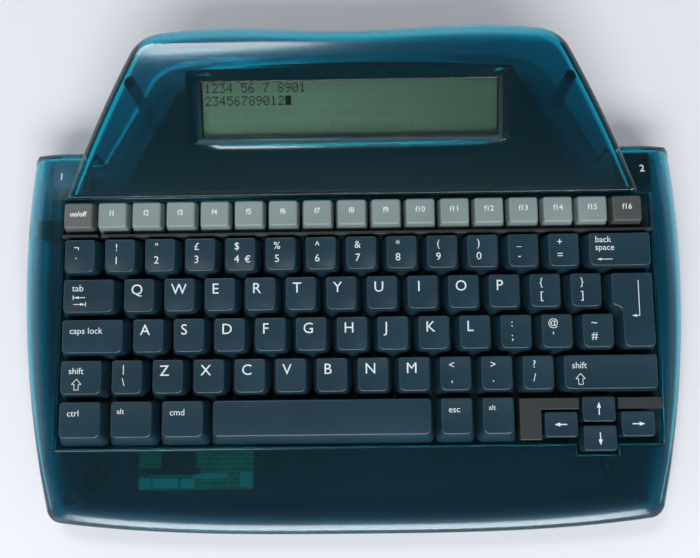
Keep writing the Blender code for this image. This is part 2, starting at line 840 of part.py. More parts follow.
def make_dome_sheet(stems):
    """The rubber sheet with one dome under every key stem."""
    bm = bmesh.new()
    half = opening_half + frame_margin
    add_box(bm, (-half, opening_front - opening_front_gap, sheet_bottom),
            (half, opening_rear, dome_floor))
    rubber = material("dome_rubber", (0.35, 0.36, 0.33), 0.7)
    sheet = add_object("dome_sheet", bm, (0, 0, 0), key_frame, rubber)
    bm = bmesh.new()
    for stem in stems:
        add_post(bm, stem, dome_floor - sheet_root, dome_top, dome_base_width / 2,
                 dome_sides, dome_top_width / 2)
    combine(sheet, add_object("domes", bm, (0, 0, 0), key_frame), 'UNION')


def make_backplate():
    """The steel plate under the dome sheet."""
    bm = bmesh.new()
    half = opening_half + frame_margin
    add_box(bm, (-half, opening_front - opening_front_gap, backplate_bottom),
            (half, opening_rear, backplate_top))
    steel = material("zinc_steel", (0.45, 0.46, 0.47), 0.35, 1.0)
    add_object("keyboard_backplate", bm, (0, 0, 0), key_frame, steel)


# Case

def display_point(u, v, w):
    """World place of a point given in the display's own sloping frame."""
    return Vector((u, display_y + v * cos(display_slope) - w * sin(display_slope),
                   display_z + v * sin(display_slope) + w * cos(display_slope)))


def recess_solid(name, grow, depth):
    """The display recess, from its window up through the hump's surface."""
    half_u, half_v = display_width / 2 + grow, display_depth / 2 + grow
    lip_y = display_point(0, -display_depth / 2, 0).y - recess_front_gap - grow
    tip_y = display_point(0, display_depth / 2, 0).y + recess_tip_reach + grow
    lip_half = display_width / 2 + recess_front_spread + grow
    tip_half = display_width / 2 + recess_tip_spread + grow
    window = [(-half_u, -half_v), (half_u, -half_v)]
    mouth = [(-lip_half, lip_y), (lip_half, lip_y)]
    for i in range(arch_steps + 1):
        share = 1 - 2 * i / arch_steps
        window.append((half_u * share, half_v))
        mouth.append((tip_half * share, tip_y + recess_arch * (1 - share ** 2)))
    rings = [[display_point(u, v, -depth) for u, v in window]]
    if not grow:
        rings.append([display_point(u, v, 0) for u, v in window])
    rings.append([Vector((x, y, hump_height(y) + recess_lift)) for x, y in mouth])
    rings.append([Vector((x, y, hump_height(y) + cut_overrun)) for x, y in mouth])
    bm = bmesh.new()
    loft(bm, rings)
    return add_object(name, bm)


def opening_solid(name, grow, low, high):
    """The keyboard opening with its notch for the lowest arrow key, across the key plane."""
    half = opening_half + grow
    front, rear = opening_front - grow, opening_rear + grow
    notch_front = arrow_notch_front - grow
    notch_half = arrow_width / 2 + opening_front_gap + grow
    middle = arrow_columns[1]
    outline = [(-half, front), (middle - notch_half, front), (middle - notch_half, notch_front),
               (middle + notch_half, notch_front), (middle + notch_half, front), (half, front),
               (half, rear), (-half, rear)]
    bm = bmesh.new()
    loft(bm, [[(u, v, low) for u, v in outline], [(u, v, high) for u, v in outline]])
    return add_object(name, bm, (0, 0, 0), key_frame)


def boss_places():
    """Plan positions of the case screws."""
    places = []
    for side in (-1, 1):
        places.append((side * (case_half - corner_boss_inset),
                       -case_half_depth + corner_boss_setback))
        hump_y = case_half_depth - hump_boss_setback
        places.append((side * (hump_side_line(hump_y) - hump_boss_inset), hump_y))
    row_y = -case_half_depth + front_strip - row_boss_setback
    for i in range(row_boss_count):
        places.append(((i - (row_boss_count - 1) / 2) * row_boss_spacing, row_y))
    return places


def socket_height():
    """Height of a shoulder socket, up to its gap under the shoulder's wall."""
    roof = rim_height(shoulder_rear) - case_wall - socket_roof_gap
    return roof - upper_bottom - socket_lift


def socket_places():
    """Middle of each shoulder socket's front-to-rear run: left, then right."""
    face = shoulder_rear - case_wall - socket_face_gap
    height = upper_bottom + socket_lift + socket_height() / 2
    x = case_half - socket_inset
    return ((-x, face - socket_depth / 2, height), (x, face - socket_depth / 2, height))


def jack_width():
    """Width and height of the power jack, up to its gap under the rim."""
    roof = rim_height(hump_front - jack_setback) - case_wall - jack_roof_gap
    return roof - upper_bottom - socket_lift


def jack_place():
    """Middle of the power jack, behind the left wall."""
    y = hump_front - jack_setback
    face = -side_line(y) + jack_recess
    height = upper_bottom + socket_lift + jack_width() / 2
    return (face + jack_length / 2, y, height)


def make_upper_case():
    """The translucent top shell with hump, recess, key opening, bosses and windows."""
    teal = material("translucent_teal", (0.01, 0.09, 0.12), 0.15, 0.0, 0.6)
    shell = slab_solid("upper_case", 0, upper_bottom)
    cutters.objects.unlink(shell)
    parts.objects.link(shell)
    shell.display_type = 'TEXTURED'
    shell.hide_render = False
    shell.data.materials.append(teal)
    combine(shell, hump_solid("hump", 0, upper_bottom), 'UNION')
    room = slab_solid("slab_room", case_wall, upper_bottom - cut_overrun)
    combine(room, hump_solid("hump_room", case_wall, upper_bottom - cut_overrun), 'UNION')
    combine(room, recess_solid("recess_wall", case_wall, case_wall), 'DIFFERENCE')
    wall_low = frame_top + contact_gap
    combine(room, opening_solid("opening_wall", opening_wall, wall_low, cut_overrun), 'DIFFERENCE')
    combine(shell, room, 'DIFFERENCE')
    bm = bmesh.new()
    for x, y in boss_places():
        top = hump_height(y) if y > hump_front else rim_height(y)
        add_post(bm, (x, y), upper_bottom, top - case_wall / 2, boss_radius, boss_sides)
    combine(shell, add_object("upper_bosses", bm), 'UNION')
    combine(shell, recess_solid("recess", 0, case_wall + cut_overrun), 'DIFFERENCE')
    low = frame_top - cut_overrun
    combine(shell, opening_solid("opening", 0, low, cut_overrun), 'DIFFERENCE')
    bm = bmesh.new()
    half = socket_height() / 2 - socket_sill
    for x, y, z in socket_places():
        add_box(bm, (x - socket_window_width / 2, shoulder_rear - cut_overrun, z - half),
                (x + socket_window_width / 2, shoulder_rear + cut_overrun, z + half))
    x, y, z = jack_place()
    face = x - jack_length / 2
    half = jack_window_share * jack_width() / 2
    add_box(bm, (face - jack_recess - cut_overrun, y - half, z - half), (face, y + half, z + half))
    for x, y in boss_places():
        add_post(bm, (x, y), upper_bottom - boss_bore_depth, upper_bottom + boss_bore_depth / 2,
                 boss_bore_radius, boss_sides)
    combine(shell, add_object("upper_windows", bm), 'DIFFERENCE')


def bay_size():
    """Inner length and depth of the battery bay."""
    length = battery_length + battery_nub_length + contact_room
    depth = battery_count * (battery_diameter + contact_gap) + contact_gap
    return length, depth


def bay_middle():
    """Plan position of the battery bay."""
    return bay_offset, case_half_depth - bay_setback


def foot_places():
    """Plan positions of the four feet, front left first."""
    front_y = -case_half_depth + front_foot_setback
    rear_y = case_half_depth - rear_foot_setback
    front_x, rear_x = case_half - front_foot_inset, case_half - rear_foot_inset
    return {"foot_front_left": (-front_x, front_y), "foot_front_right": (front_x, front_y),
            "foot_rear_left": (-rear_x, rear_y), "foot_rear_right": (rear_x, rear_y)}


def make_lower_case():
    """The translucent bottom tray with ribs, bosses, battery bay and foot pockets."""
    teal = material("translucent_teal_base", (0.008, 0.06, 0.085), 0.2, 0.0, 0.6)

    def tray_rings(grow, low):
        rings = []
        for k in range(roll_steps):
            angle = radians(90) * k / (roll_steps - 1)
            inset = tuck_in * (1 - sin(angle)) + grow
            height = low + tuck_height * (1 - cos(angle))
            rings.append([Vector((p.x, p.y, height)) for p in case_plan(inset)])
        return rings

    bm = bmesh.new()
    rings = tray_rings(0, foot_height)
    rings.append([Vector((p.x, p.y, parting_height)) for p in case_plan(0)])
    loft(bm, rings)
    tray = add_object("lower_case", bm, (0, 0, 0), None, teal)
    bm = bmesh.new()
    rings = tray_rings(case_wall, floor_top)
    rings.append([Vector((p.x, p.y, parting_height + cut_overrun))
                  for p in case_plan(case_wall)])
    loft(bm, rings)
    combine(tray, add_object("tray_room", bm), 'DIFFERENCE')
    length, depth = bay_size()
    x, y = bay_middle()
    floor_middle = foot_height + floor_thickness / 2
    bm = bmesh.new()
    add_box(bm, (x - length / 2 - bay_wall, y - depth / 2 - bay_wall, floor_middle),
            (x + length / 2 + bay_wall, y + depth / 2 + bay_wall, bay_ceiling + bay_wall))
    for boss_x, boss_y in boss_places():
        add_post(bm, (boss_x, boss_y), floor_middle, parting_height, boss_radius, boss_sides)
    front = number_row_y + (opening_front + rib_end_inset) * cos(keyboard_slope)
    rear = number_row_y + (opening_rear - rib_end_inset) * cos(keyboard_slope)
    depth_down = -backplate_bottom + contact_gap
    for side in (-1, 1):
        middle = field_shift + side * (field_half - rib_inset)
        profile = [(front, floor_middle), (rear, floor_middle),
                   (rear, key_frame_height(rear, depth_down)),
                   (front, key_frame_height(front, depth_down))]
        loft(bm, [[(middle + end * rib_thickness / 2, py, pz) for py, pz in profile]
                  for end in (-1, 1)])
    combine(tray, add_object("tray_fittings", bm), 'UNION')
    bm = bmesh.new()
    add_box(bm, (x - length / 2, y - depth / 2, foot_height - cut_overrun),
            (x + length / 2, y + depth / 2, bay_ceiling))
    combine(tray, add_object("battery_room", bm), 'DIFFERENCE')
    bm = bmesh.new()
    half_x = length / 2 + cover_ledge + contact_gap
    half_y = depth / 2 + cover_ledge + contact_gap
    add_box(bm, (x - half_x, y - half_y - cover_travel, foot_height - cut_overrun),
            (x + half_x, y + half_y, foot_height + cover_thickness + contact_gap))
    for foot_x, foot_y in foot_places().values():
        add_post(bm, (foot_x, foot_y), foot_height - cut_overrun, foot_height + foot_pocket,
                 foot_radius + contact_gap, foot_sides)
    combine(tray, add_object("floor_pockets", bm), 'DIFFERENCE')


# Display stack, from the window down

def make_display():
    """Clear window, dark bezel, liquid-crystal panel and its board."""
    half_u, half_v = display_width / 2, display_depth / 2
    level = -case_wall - contact_gap
    bm = bmesh.new()
    add_box(bm, (-half_u - window_margin, -half_v - window_margin, level - window_thickness),
            (half_u + window_margin, half_v + window_margin, level))
    clear = material("clear_acrylic", (0.8, 0.85, 0.85), 0.05, 0.0, 0.95)
    add_object("display_window", bm, (0, 0, 0), display_frame, clear)
    level -= window_thickness + contact_gap
    bm = bmesh.new()
    outer_u, outer_v = half_u + bezel_margin, half_v + bezel_margin
    outline = [(-outer_u, -outer_v), (outer_u, -outer_v), (outer_u, outer_v), (-outer_u, outer_v)]
    hole = [(-half_u, -half_v), (half_u, -half_v), (half_u, half_v), (-half_u, half_v)]
    base = level - bezel_thickness
    rings = [[(u, v, base) for u, v in hole], [(u, v, base) for u, v in outline],
             [(u, v, level) for u, v in outline], [(u, v, level) for u, v in hole],
             [(u, v, base) for u, v in hole]]
    loft(bm, rings, closed=False)
    black = material("bezel_plastic", (0.008, 0.009, 0.011), 0.55)
    add_object("display_bezel", bm, (0, 0, 0), display_frame, black)
    level = base - contact_gap
    bm = bmesh.new()
    add_box(bm, (-half_u - panel_margin, -half_v - panel_margin, level - panel_thickness),
            (half_u + panel_margin, half_v + panel_margin, level))
    glass = material("liquid_crystal", (0.1, 0.15, 0.1), 0.3)
    add_object("lcd_panel", bm, (0, 0, 0), display_frame, glass)
    level -= panel_thickness + contact_gap
    bm = bmesh.new()
    margin = display_board_margin
    add_box(bm, (-half_u - margin, -half_v - margin, level - board_thickness),
            (half_u + margin, half_v + margin, level))
    green = material("circuit_board", (0.01, 0.1, 0.03), 0.4)
    add_object("lcd_board", bm, (0, 0, 0), display_frame, green)


# Boards, sockets, batteries and feet

def make_main_board():
    """The logic board on the floor under the left front of the keyboard."""
    left = -case_half + board_side_inset
    front = -case_half_depth + board_setback
    low = floor_top + contact_gap
    bm = bmesh.new()
    add_box(bm, (left, front, low), (left + board_width, front + board_depth,
                                     low + board_thickness))
    green = material("main_circuit_board", (0.01, 0.12, 0.03), 0.4)
    add_object("main_board", bm, (0, 0, 0), None, green)


def make_socket(name, place, size, bore, bore_depth, axis, surface):
    """A socket housing with a round blind bore that opens along the given axis."""
    bm = bmesh.new()
    add_box(bm, Vector(size) / -2, Vector(size) / 2)
    housing = add_object(name, bm, place, None, surface)
    reach = Vector(axis).dot(Vector(size)) / 2
    bm = bmesh.new()
    drill = add_post(bm, (0, 0), reach - bore_depth, reach + cut_overrun, bore / 2, socket_sides)
    lay_along(bm, drill, place, axis)
    combine(housing, add_object(name + "_bore", bm), 'DIFFERENCE')


def make_sockets():
    """The two round sockets in the shoulders and the power jack in the left side."""
    black = material("socket_plastic", (0.01, 0.01, 0.01), 0.4)
    size = (socket_width, socket_depth, socket_height())
    bore = socket_bore_share * socket_height()
    for name, place in zip(("printer_socket", "computer_socket"), socket_places()):
        make_socket(name, place, size, bore, socket_bore_depth, (0, 1, 0), black)
    size = (jack_length, jack_width(), jack_width())
    x, y, z = jack_place()
    bm = bmesh.new()
    add_box(bm, Vector(size) / -2, Vector(size) / 2)
    jack = add_object("power_jack", bm, (x, y, z), None, black)
    bm = bmesh.new()
    drill = add_post(bm, (0, 0), jack_length / 2 - jack_bore_depth,
                     jack_length / 2 + cut_overrun, jack_bore_share * jack_width() / 2,
                     socket_sides)
    lay_along(bm, drill, (x, y, z), (-1, 0, 0))
    combine(jack, add_object("power_jack_bore", bm), 'DIFFERENCE')


def make_batteries():
    """Three round cells side by side, and the cover that slides shut under them."""
    jacket = material("battery_jacket", (0.05, 0.05, 0.055), 0.3, 0.6)
    x, y = bay_middle()
    radius = battery_diameter / 2
    centre_z = foot_height + cover_thickness + contact_gap + radius
    pitch = battery_diameter + contact_gap
    half = battery_length / 2
    for i in range(battery_count):
        facing = 1 if i % 2 == 0 else -1
        bm = bmesh.new()
        profile = [(half + battery_nub_length, 0), (half + battery_nub_length, battery_nub_radius),
                   (half, battery_nub_radius), (half, radius - battery_edge),
                   (half - battery_edge, radius), (-half + battery_edge, radius),
                   (-half, radius - battery_edge), (-half, 0)]
        verts = [bm.verts.new((along, 0, out)) for along, out in profile]
        for a, b in zip(verts, verts[1:]):
            bm.edges.new((a, b))
        mesh = bpy.data.meshes.new("battery_%d" % (i + 1))
        bm.to_mesh(mesh)
        bm.free()
        mesh.materials.append(jacket)
        cell = bpy.data.objects.new(mesh.name, mesh)
        cell.location = (x - facing * battery_nub_length / 2,
                         y + (i - (battery_count - 1) / 2) * pitch, centre_z)
        cell.rotation_euler = (0, 0, 0 if facing > 0 else pi)
        parts.objects.link(cell)
        turn = cell.modifiers.new("turn", 'SCREW')
        turn.axis = 'X'
        turn.steps = battery_sides
        turn.render_steps = battery_sides
        turn.use_merge_vertices = True
        turn.merge_threshold = merge_distance
        turn.use_smooth_shade = True
    length, depth = bay_size()
    bm = bmesh.new()
    half_x, half_y = length / 2 + cover_ledge, depth / 2 + cover_ledge
    add_box(bm, (-half_x, -half_y, 0), (half_x, half_y, cover_thickness))
    teal = material("translucent_teal_cover", (0.008, 0.06, 0.085), 0.2, 0.0, 0.6)
    add_object("battery_cover", bm, (x, y, foot_height), None, teal)


def make_feet():
    """Four round rubber feet pressed into pockets in the floor."""
    rubber = material("foot_rubber", (0.015, 0.015, 0.015), 0.8)
    top = foot_height + foot_pocket - contact_gap
    for name, (x, y) in foot_places().items():
        bm = bmesh.new()
        add_post(bm, (0, 0), 0, top, foot_radius, foot_sides)
        add_object(name, bm, (x, y, 0), None, rubber)


key_nodes = key_groups()
key_stems = [stem for caps in key_nodes.values() for _, _, stem in caps]
bottom_row_right = max(outline[1][0] for _, outline, _ in key_nodes["escape_key_bank"])

make_keys(key_nodes)
make_keyboard_frame(key_stems)
make_dome_sheet(key_stems)
make_backplate()
make_upper_case()
make_lower_case()
make_display()
make_main_board()
make_sockets()
make_batteries()
make_feet()
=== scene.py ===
"""Electronic word processor, dressed from its feet up to its display.

The solids come from the frame. Each section is one stage of putting the object together, with the
sizes, colours, shapes and finishes of that stage. Lengths are in metres, +X right, +Y rear, +Z up.
"""
import json
from math import cos, hypot, pi, radians, sin, tan

import bmesh
import bpy
from mathutils import Matrix, Vector


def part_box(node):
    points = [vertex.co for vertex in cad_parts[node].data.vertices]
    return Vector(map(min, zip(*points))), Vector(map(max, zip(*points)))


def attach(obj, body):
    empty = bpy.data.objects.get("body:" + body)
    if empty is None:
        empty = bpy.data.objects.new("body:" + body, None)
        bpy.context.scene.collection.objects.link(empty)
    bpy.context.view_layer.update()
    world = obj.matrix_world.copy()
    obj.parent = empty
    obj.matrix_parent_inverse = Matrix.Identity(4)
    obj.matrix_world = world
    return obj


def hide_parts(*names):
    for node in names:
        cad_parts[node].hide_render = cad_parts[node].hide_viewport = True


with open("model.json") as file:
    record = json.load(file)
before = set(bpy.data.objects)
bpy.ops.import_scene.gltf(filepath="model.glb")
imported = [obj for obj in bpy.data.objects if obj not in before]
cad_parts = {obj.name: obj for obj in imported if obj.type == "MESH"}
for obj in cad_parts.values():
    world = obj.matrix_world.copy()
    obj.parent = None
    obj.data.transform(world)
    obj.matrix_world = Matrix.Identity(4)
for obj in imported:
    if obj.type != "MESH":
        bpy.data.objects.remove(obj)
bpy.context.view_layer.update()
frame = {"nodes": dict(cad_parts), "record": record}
mm = 0.001


# Feet. Four round pads of moulded black rubber with a soft edge and a shallow dimple, pressed into
# pockets in the floor. Rubber is matt, and its skin has a faint bloom of lighter specks.

def rgb(code):
    """An sRGB hex value as linear red, green, blue and alpha."""
    shares = [int(code[i:i + 2], 16) / 255 for i in (1, 3, 5)]
    return (*[s / 12.92 if s <= 0.04045 else ((s + 0.055) / 1.055) ** 2.4 for s in shares], 1.0)


def add_node(finish, kind, settings={}, links={}):
    """Add a shader node to a finish; links give the output that feeds each named socket."""
    made = finish.node_tree.nodes.new("ShaderNode" + kind)
    for name, value in settings.items():
        if isinstance(name, int) or name in made.inputs:
            made.inputs[name].default_value = value
        else:
            setattr(made, name, value)
    for name, source in links.items():
        finish.node_tree.links.new(source, made.inputs[name])
    return made


def new_finish(name, **sockets):
    """A Principled material whose plain numbers and colours are set on its own sockets."""
    finish = bpy.data.materials.new(name)
    finish.use_nodes = True
    shader = finish.node_tree.nodes["Principled BSDF"]
    for socket, value in sockets.items():
        shader.inputs[socket.replace("_", " ")].default_value = value
    return finish, shader


def clouded(name, dark, pale, cloud, grain, depth, strength=0.2, **sockets):
    """A finish that clouds between two tones under a pebbled skin; its three sizes are in mm."""
    finish, shader = new_finish(name, **sockets)
    cloud, grain, depth = cloud * mm, grain * mm, depth * mm
    place = add_node(finish, "TexCoord").outputs["Object"]
    clouds = add_node(finish, "TexNoise", {"Scale": 1 / cloud, "Detail": 3.0}, {"Vector": place})
    tone = add_node(finish, "ValToRGB", {}, {"Fac": clouds.outputs["Fac"]})
    tone.color_ramp.elements[0].position = 0.3
    tone.color_ramp.elements[0].color = rgb(dark)
    tone.color_ramp.elements[1].position = 0.7
    tone.color_ramp.elements[1].color = rgb(pale)
    pebbles = add_node(finish, "TexNoise", {"Scale": 1 / grain, "Detail": 2.0}, {"Vector": place})
    bump = add_node(finish, "Bump", {"Strength": strength, "Distance": depth},
                    {"Height": pebbles.outputs["Fac"]})
    finish.node_tree.links.new(tone.outputs["Color"], shader.inputs["Base Color"])
    finish.node_tree.links.new(bump.outputs["Normal"], shader.inputs["Normal"])
    return finish


def soften(bm, edges, radius, steps=2):
    """Round edges off."""
    bmesh.ops.bevel(bm, geom=edges, offset=radius, segments=steps, profile=0.5, affect='EDGES',
                    material=-1)


def upright_edges(bm):
    return [e for e in bm.edges if abs(e.verts[0].co.z - e.verts[1].co.z) > 0.1 * mm]


def as_object(name, bm):
    """Turn a shape into an object of the scene and free it."""
    mesh = bpy.data.meshes.new(name)
    bm.to_mesh(mesh)
    bm.free()
    made = bpy.data.objects.new(name, mesh)
    bpy.context.scene.collection.objects.link(made)
    return made


def fit_piece(name, bm, finish, body, stands_for=(), smooth=35):
    """Make a shape a finished piece that rides on a body and stands for solids of the frame."""
    piece = as_object(name, bm)
    piece.data.materials.append(finish)
    piece.data.shade_smooth()
    piece.data.set_sharp_from_angle(angle=radians(smooth))
    even = piece.modifiers.new("even shading", 'WEIGHTED_NORMAL')
    even.keep_sharp = True
    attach(piece, body)
    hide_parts(*stands_for)
    return piece


foot_edge = 0.6 * mm
foot_dimple = 3.4 * mm
dimple_depth = 0.35 * mm

foot_rubber = clouded("moulded black rubber", "#0b0b0c", "#1b1b1c", 2.5, 0.35, 0.05,
                      Roughness=0.82, IOR=1.52)

bm = bmesh.new()
feet = ("foot_front_left", "foot_front_right", "foot_rear_left", "foot_rear_right")
for foot in feet:
    low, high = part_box(foot)
    centre = (low + high) / 2
    radius = (high.x - low.x) / 2
    pad = bmesh.ops.create_cone(bm, cap_ends=True, segments=48, radius1=radius, radius2=radius,
                                depth=high.z - low.z, matrix=Matrix.Translation(centre))["verts"]
    ends = {f for v in pad for f in v.link_faces if len(f.verts) > 4}
    sole = min(ends, key=lambda f: f.calc_center_median().z)
    soften(bm, list(sole.edges), foot_edge, 4)
    sole = min((f for f in bm.faces if len(f.verts) > 4 and
                (f.calc_center_median() - centre).xy.length < mm),
               key=lambda f: f.calc_center_median().z)
    bmesh.ops.inset_region(bm, faces=[sole], thickness=radius - foot_edge - foot_dimple)
    bmesh.ops.inset_region(bm, faces=[sole], thickness=0.5 * mm, depth=-dimple_depth)
fit_piece("rubber_feet", bm, foot_rubber, "case", feet)


# Base tray. An injection moulding in teal-tinted see-through polycarbonate, with screw posts, a
# battery bay and pockets for the feet and screws. Its outside has a fine satin.

key_pitch = 19.05 * mm
key_room = 0.75 * mm
slope = radians(5)
field_shift = 2.3 * mm
key_top_height = 33.0 * mm
field_half = 14.75 * key_pitch / 2
cap_depth = key_pitch - key_room
bottom_front = -4 * key_pitch - cap_depth / 2 - 2.6 * mm
opening_half = field_half + 0.6 * mm
opening_front = bottom_front - 1.0 * mm
opening_rear = 29.7 * mm
rim_drop = 5.5 * mm
wall = 2.2 * mm
parting = 12.0 * mm
floor_low = 1.2 * mm
floor_high = 3.8 * mm

half_width = opening_half + 19.2 * mm
hump_depth, hump_taper = 84.0 * mm, 0.495
shoulder_depth, shoulder_fall = 25.6 * mm, 3.1 * mm
shoulder_end = half_width - 20 * mm
side_radius = 484 * mm
lobe_end, lobe_rise, lobe_run = 91 * mm, 3.4 * mm, 29 * mm
half_depth = (39.35 * mm + (opening_rear - opening_front) * cos(slope) + hump_depth) / 2
hump_front = half_depth - hump_depth
number_row = hump_front - opening_rear * cos(slope) - rim_drop * sin(slope)
shoulder_rear = hump_front + shoulder_depth
widest = -half_depth + 141 * mm
crest = half_depth - 13 * mm
crest_height = 50.15 * mm
corner_reach = half_width - 19.3 * mm
front_steps, corner_steps, side_steps, lobe_steps, hump_steps, roll_steps = 14, 10, 22, 22, 32, 12

key_plane = Matrix.Translation((field_shift, number_row, key_top_height)) @ Matrix.Rotation(
    slope, 4, 'X')


def round_corner(before, corner, after, radius, steps):
    """Points of a round corner between two straight stretches of a flat outline."""
    back, ahead = (before - corner).normalized(), (after - corner).normalized()
    half = back.angle(ahead) / 2
    radius = min(radius, (before - corner).length * tan(half), (after - corner).length * tan(half))
    centre = corner + (back + ahead).normalized() * radius / sin(half)
    start = corner + back * radius / tan(half) - centre
    sweep = start.angle_signed(corner + ahead * radius / tan(half) - centre)
    return [centre + Matrix.Rotation(-sweep * i / steps, 2) @ start for i in range(steps + 1)]


def whole(right_half):
    """Mirror the right half of an outline, from its front middle to its rear middle."""
    return right_half + [Vector((-p.x, p.y)) for p in right_half[-2:0:-1]]


def front_edge(x):
    return -half_depth + 6.5 * mm * (abs(x) / corner_reach) ** 3


def side_edge(y):
    return half_width - (y - widest) ** 2 / (2 * side_radius)


def shoulder_edge(x):
    outer = max(x - shoulder_end, 0) / (half_width - shoulder_end)
    return shoulder_rear - 2.2 * mm * outer ** 2


def hump_side(y):
    return half_width - 20.6 * mm - hump_taper * (y - hump_front)


def rear_edge(x, lobes=1.0):
    """Rear edge of the hump: two shallow lobes with a dip between them."""
    lobe = 62 * mm
    if abs(x) < lobe:
        return half_depth - lobes * 4.0 * mm * cos(pi * x / (2 * lobe)) ** 2
    return half_depth - lobes * lobe_rise * ((abs(x) - lobe) / lobe_run) ** 2


def front_and_side(inset, front_in=0.0, side_in=0.0):
    """Right half of the slab's outline, from the front middle to the side beside the hump."""
    points = []
    for i in range(front_steps):
        x = corner_reach * i / front_steps
        points.append(Vector((x * (half_width - side_in) / half_width,
                              front_edge(x) + inset + front_in)))
    corner_x = side_edge(front_edge(corner_reach)) - inset - side_in
    corner = Vector((corner_x, front_edge(corner_x) + inset + front_in))
    start = corner.y + 16 * mm
    after = Vector((side_edge(start) - inset - side_in, start))
    points += round_corner(points[-1], corner, after, 8 * mm, corner_steps)
    for i in range(1, side_steps + 1):
        y = start + (hump_front - start) * i / side_steps
        points.append(Vector((side_edge(y) - inset - side_in, y)))
    return points


def shoulder_outline(inset, roll=0.0):
    """Outline of the right shoulder, from its side round its corner to the hump's side."""
    rear_in = inset + roll * 3 * mm
    edge = side_edge(shoulder_rear) - inset - roll * 8 * mm
    points = []
    for share in (0.15, 0.3, 0.45, 0.6):
        y = hump_front + shoulder_depth * share
        points.append(Vector((side_edge(y) - inset - roll * (14 - 6 * share) * mm, y)))
    corner = Vector((edge, shoulder_edge(edge) - rear_in))
    after = Vector((edge - 10 * mm, shoulder_edge(edge - 10 * mm) - rear_in))
    points += round_corner(points[-1], corner, after, 4.5 * mm, corner_steps)
    start = points[-1].x
    for share in (0.25, 0.5, 0.75, 1.0):
        x = start + (shoulder_end - start) * share
        points.append(Vector((x, shoulder_edge(x) - rear_in)))
    return points


def hump_outline(inset, start, roll=0.0):
    """Right half of the hump's outline, from a place on its side to its rear middle."""
    side_in = (inset + roll * 4.5 * mm) * hypot(1, hump_taper)
    rear_in = inset + roll * 13 * mm
    lobes = 1 - roll
    last = Vector((lobe_end, rear_edge(lobe_end, lobes) - rear_in))
    fall = -2 * lobes * lobe_rise / lobe_run
    corner_x = last.x + (hump_side(last.y) - side_in - last.x) / (1 + hump_taper * fall)
    corner = Vector((corner_x, last.y + fall * (corner_x - last.x)))
    arc = round_corner(Vector((hump_side(start) - side_in, start)), corner, last,
                       (23 - 12 * roll) * mm, corner_steps)
    points = []
    for i in range(hump_steps):
        y = start + (arc[0].y - start) * i / hump_steps
        points.append(Vector((hump_side(y) - side_in, y)))
    points += arc
    for i in range(1, lobe_steps + 1):
        x = lobe_end * (1 - i / lobe_steps)
        points.append(Vector((x, rear_edge(x, lobes) - rear_in)))
    return points


def case_outline(inset):
    """Closed outline of slab and hump together."""
    return whole(front_and_side(inset) + shoulder_outline(inset)
                 + hump_outline(inset, shoulder_rear - inset))


def level(points, height):
    return [Vector((p.x, p.y, height)) for p in points]


def rising_block(rings):
    """Extrude a face from ring to ring, all with the same number of points, into a closed block."""
    bm = bmesh.new()
    face = bm.faces.new([bm.verts.new(point) for point in rings[0]])
    for i, ring in enumerate(rings[1:]):
        grown = bmesh.ops.extrude_face_region(bm, geom=[face])["geom"]
        if i:
            bm.faces.remove(face)
        face = next(item for item in grown if isinstance(item, bmesh.types.BMFace))
        for vert, point in zip(face.verts, ring):
            vert.co = point
    bmesh.ops.recalc_face_normals(bm, faces=bm.faces)
    return bm, face


def add_box(bm, low, high):
    """A box between two corners."""
    low, high = Vector(low), Vector(high)
    place = Matrix.Translation((low + high) / 2) @ Matrix.Diagonal((*(high - low), 1))
    return bmesh.ops.create_cube(bm, size=1.0, matrix=place)["verts"]


def add_block(bm, x, y, half_x, half_y, low, high):
    """An upright box round a place, given its half widths and its two levels."""
    return add_box(bm, (x - half_x, y - half_y, low), (x + half_x, y + half_y, high))


def add_post(bm, x, y, low, high, radius, top_radius=None, segments=32):
    """An upright round post, or a cone where the top radius differs."""
    top_radius = radius if top_radius is None else top_radius
    return bmesh.ops.create_cone(bm, cap_ends=True, segments=segments, radius1=radius,
                                 radius2=top_radius, depth=high - low,
                                 matrix=Matrix.Translation((x, y, (low + high) / 2)))["verts"]


def pour(target, source):
    """Add one shape to another and free it."""
    mesh = bpy.data.meshes.new("shape")
    source.to_mesh(mesh)
    source.free()
    target.from_mesh(mesh)
    bpy.data.meshes.remove(mesh)


def carve(bm, *steps):
    """Join other shapes to a shape or cut them away, one after another."""
    shapes = []
    for shape in (bm, *[other for _, other in steps]):
        bmesh.ops.remove_doubles(shape, verts=shape.verts, dist=0.002 * mm)
        shapes.append(as_object("shape", shape))
    for (operation, _), other in zip(steps, shapes[1:]):
        change = shapes[0].modifiers.new("carve", 'BOOLEAN')
        change.operation = operation
        change.object = other
        change.solver = 'EXACT'
    bpy.context.view_layer.update()
    carved = bmesh.new()
    carved.from_object(shapes[0], bpy.context.evaluated_depsgraph_get())
    for shape in shapes:
        bpy.data.meshes.remove(shape.data)
    bmesh.ops.dissolve_degenerate(carved, dist=0.001 * mm, edges=carved.edges)
    return carved


def tray_block(grow, low, top):
    """The tray's outside or inside: a floor that rolls up into the upright walls."""
    rings = []
    for i in range(9):
        turn = radians(90) * i / 8
        rings.append(level(case_outline(7 * mm * (1 - sin(turn)) + grow),
                           low + 5 * mm * (1 - cos(turn))))
    rings.append(level(case_outline(grow), top))
    return rising_block(rings)[0]


def screw_places():
    """Places of the case screws: corners, hump corners and a row before the keyboard."""
    places = [(side * (half_width - 28.1 * mm), -half_depth + 16.2 * mm) for side in (-1, 1)]
    y = half_depth - 30.7 * mm
    places += [(side * (hump_side(y) - 8 * mm), y) for side in (-1, 1)]
    y = -half_depth + 30.35 * mm
    return places + [(x * mm, y) for x in (-120, -40, 40, 120)]


bay_x, bay_y = 50 * mm, half_depth - 41 * mm
bay_half_x, bay_half_y, bay_ceiling, bay_wall = 26.65 * mm, 22.35 * mm, 17.7 * mm, 1.8 * mm

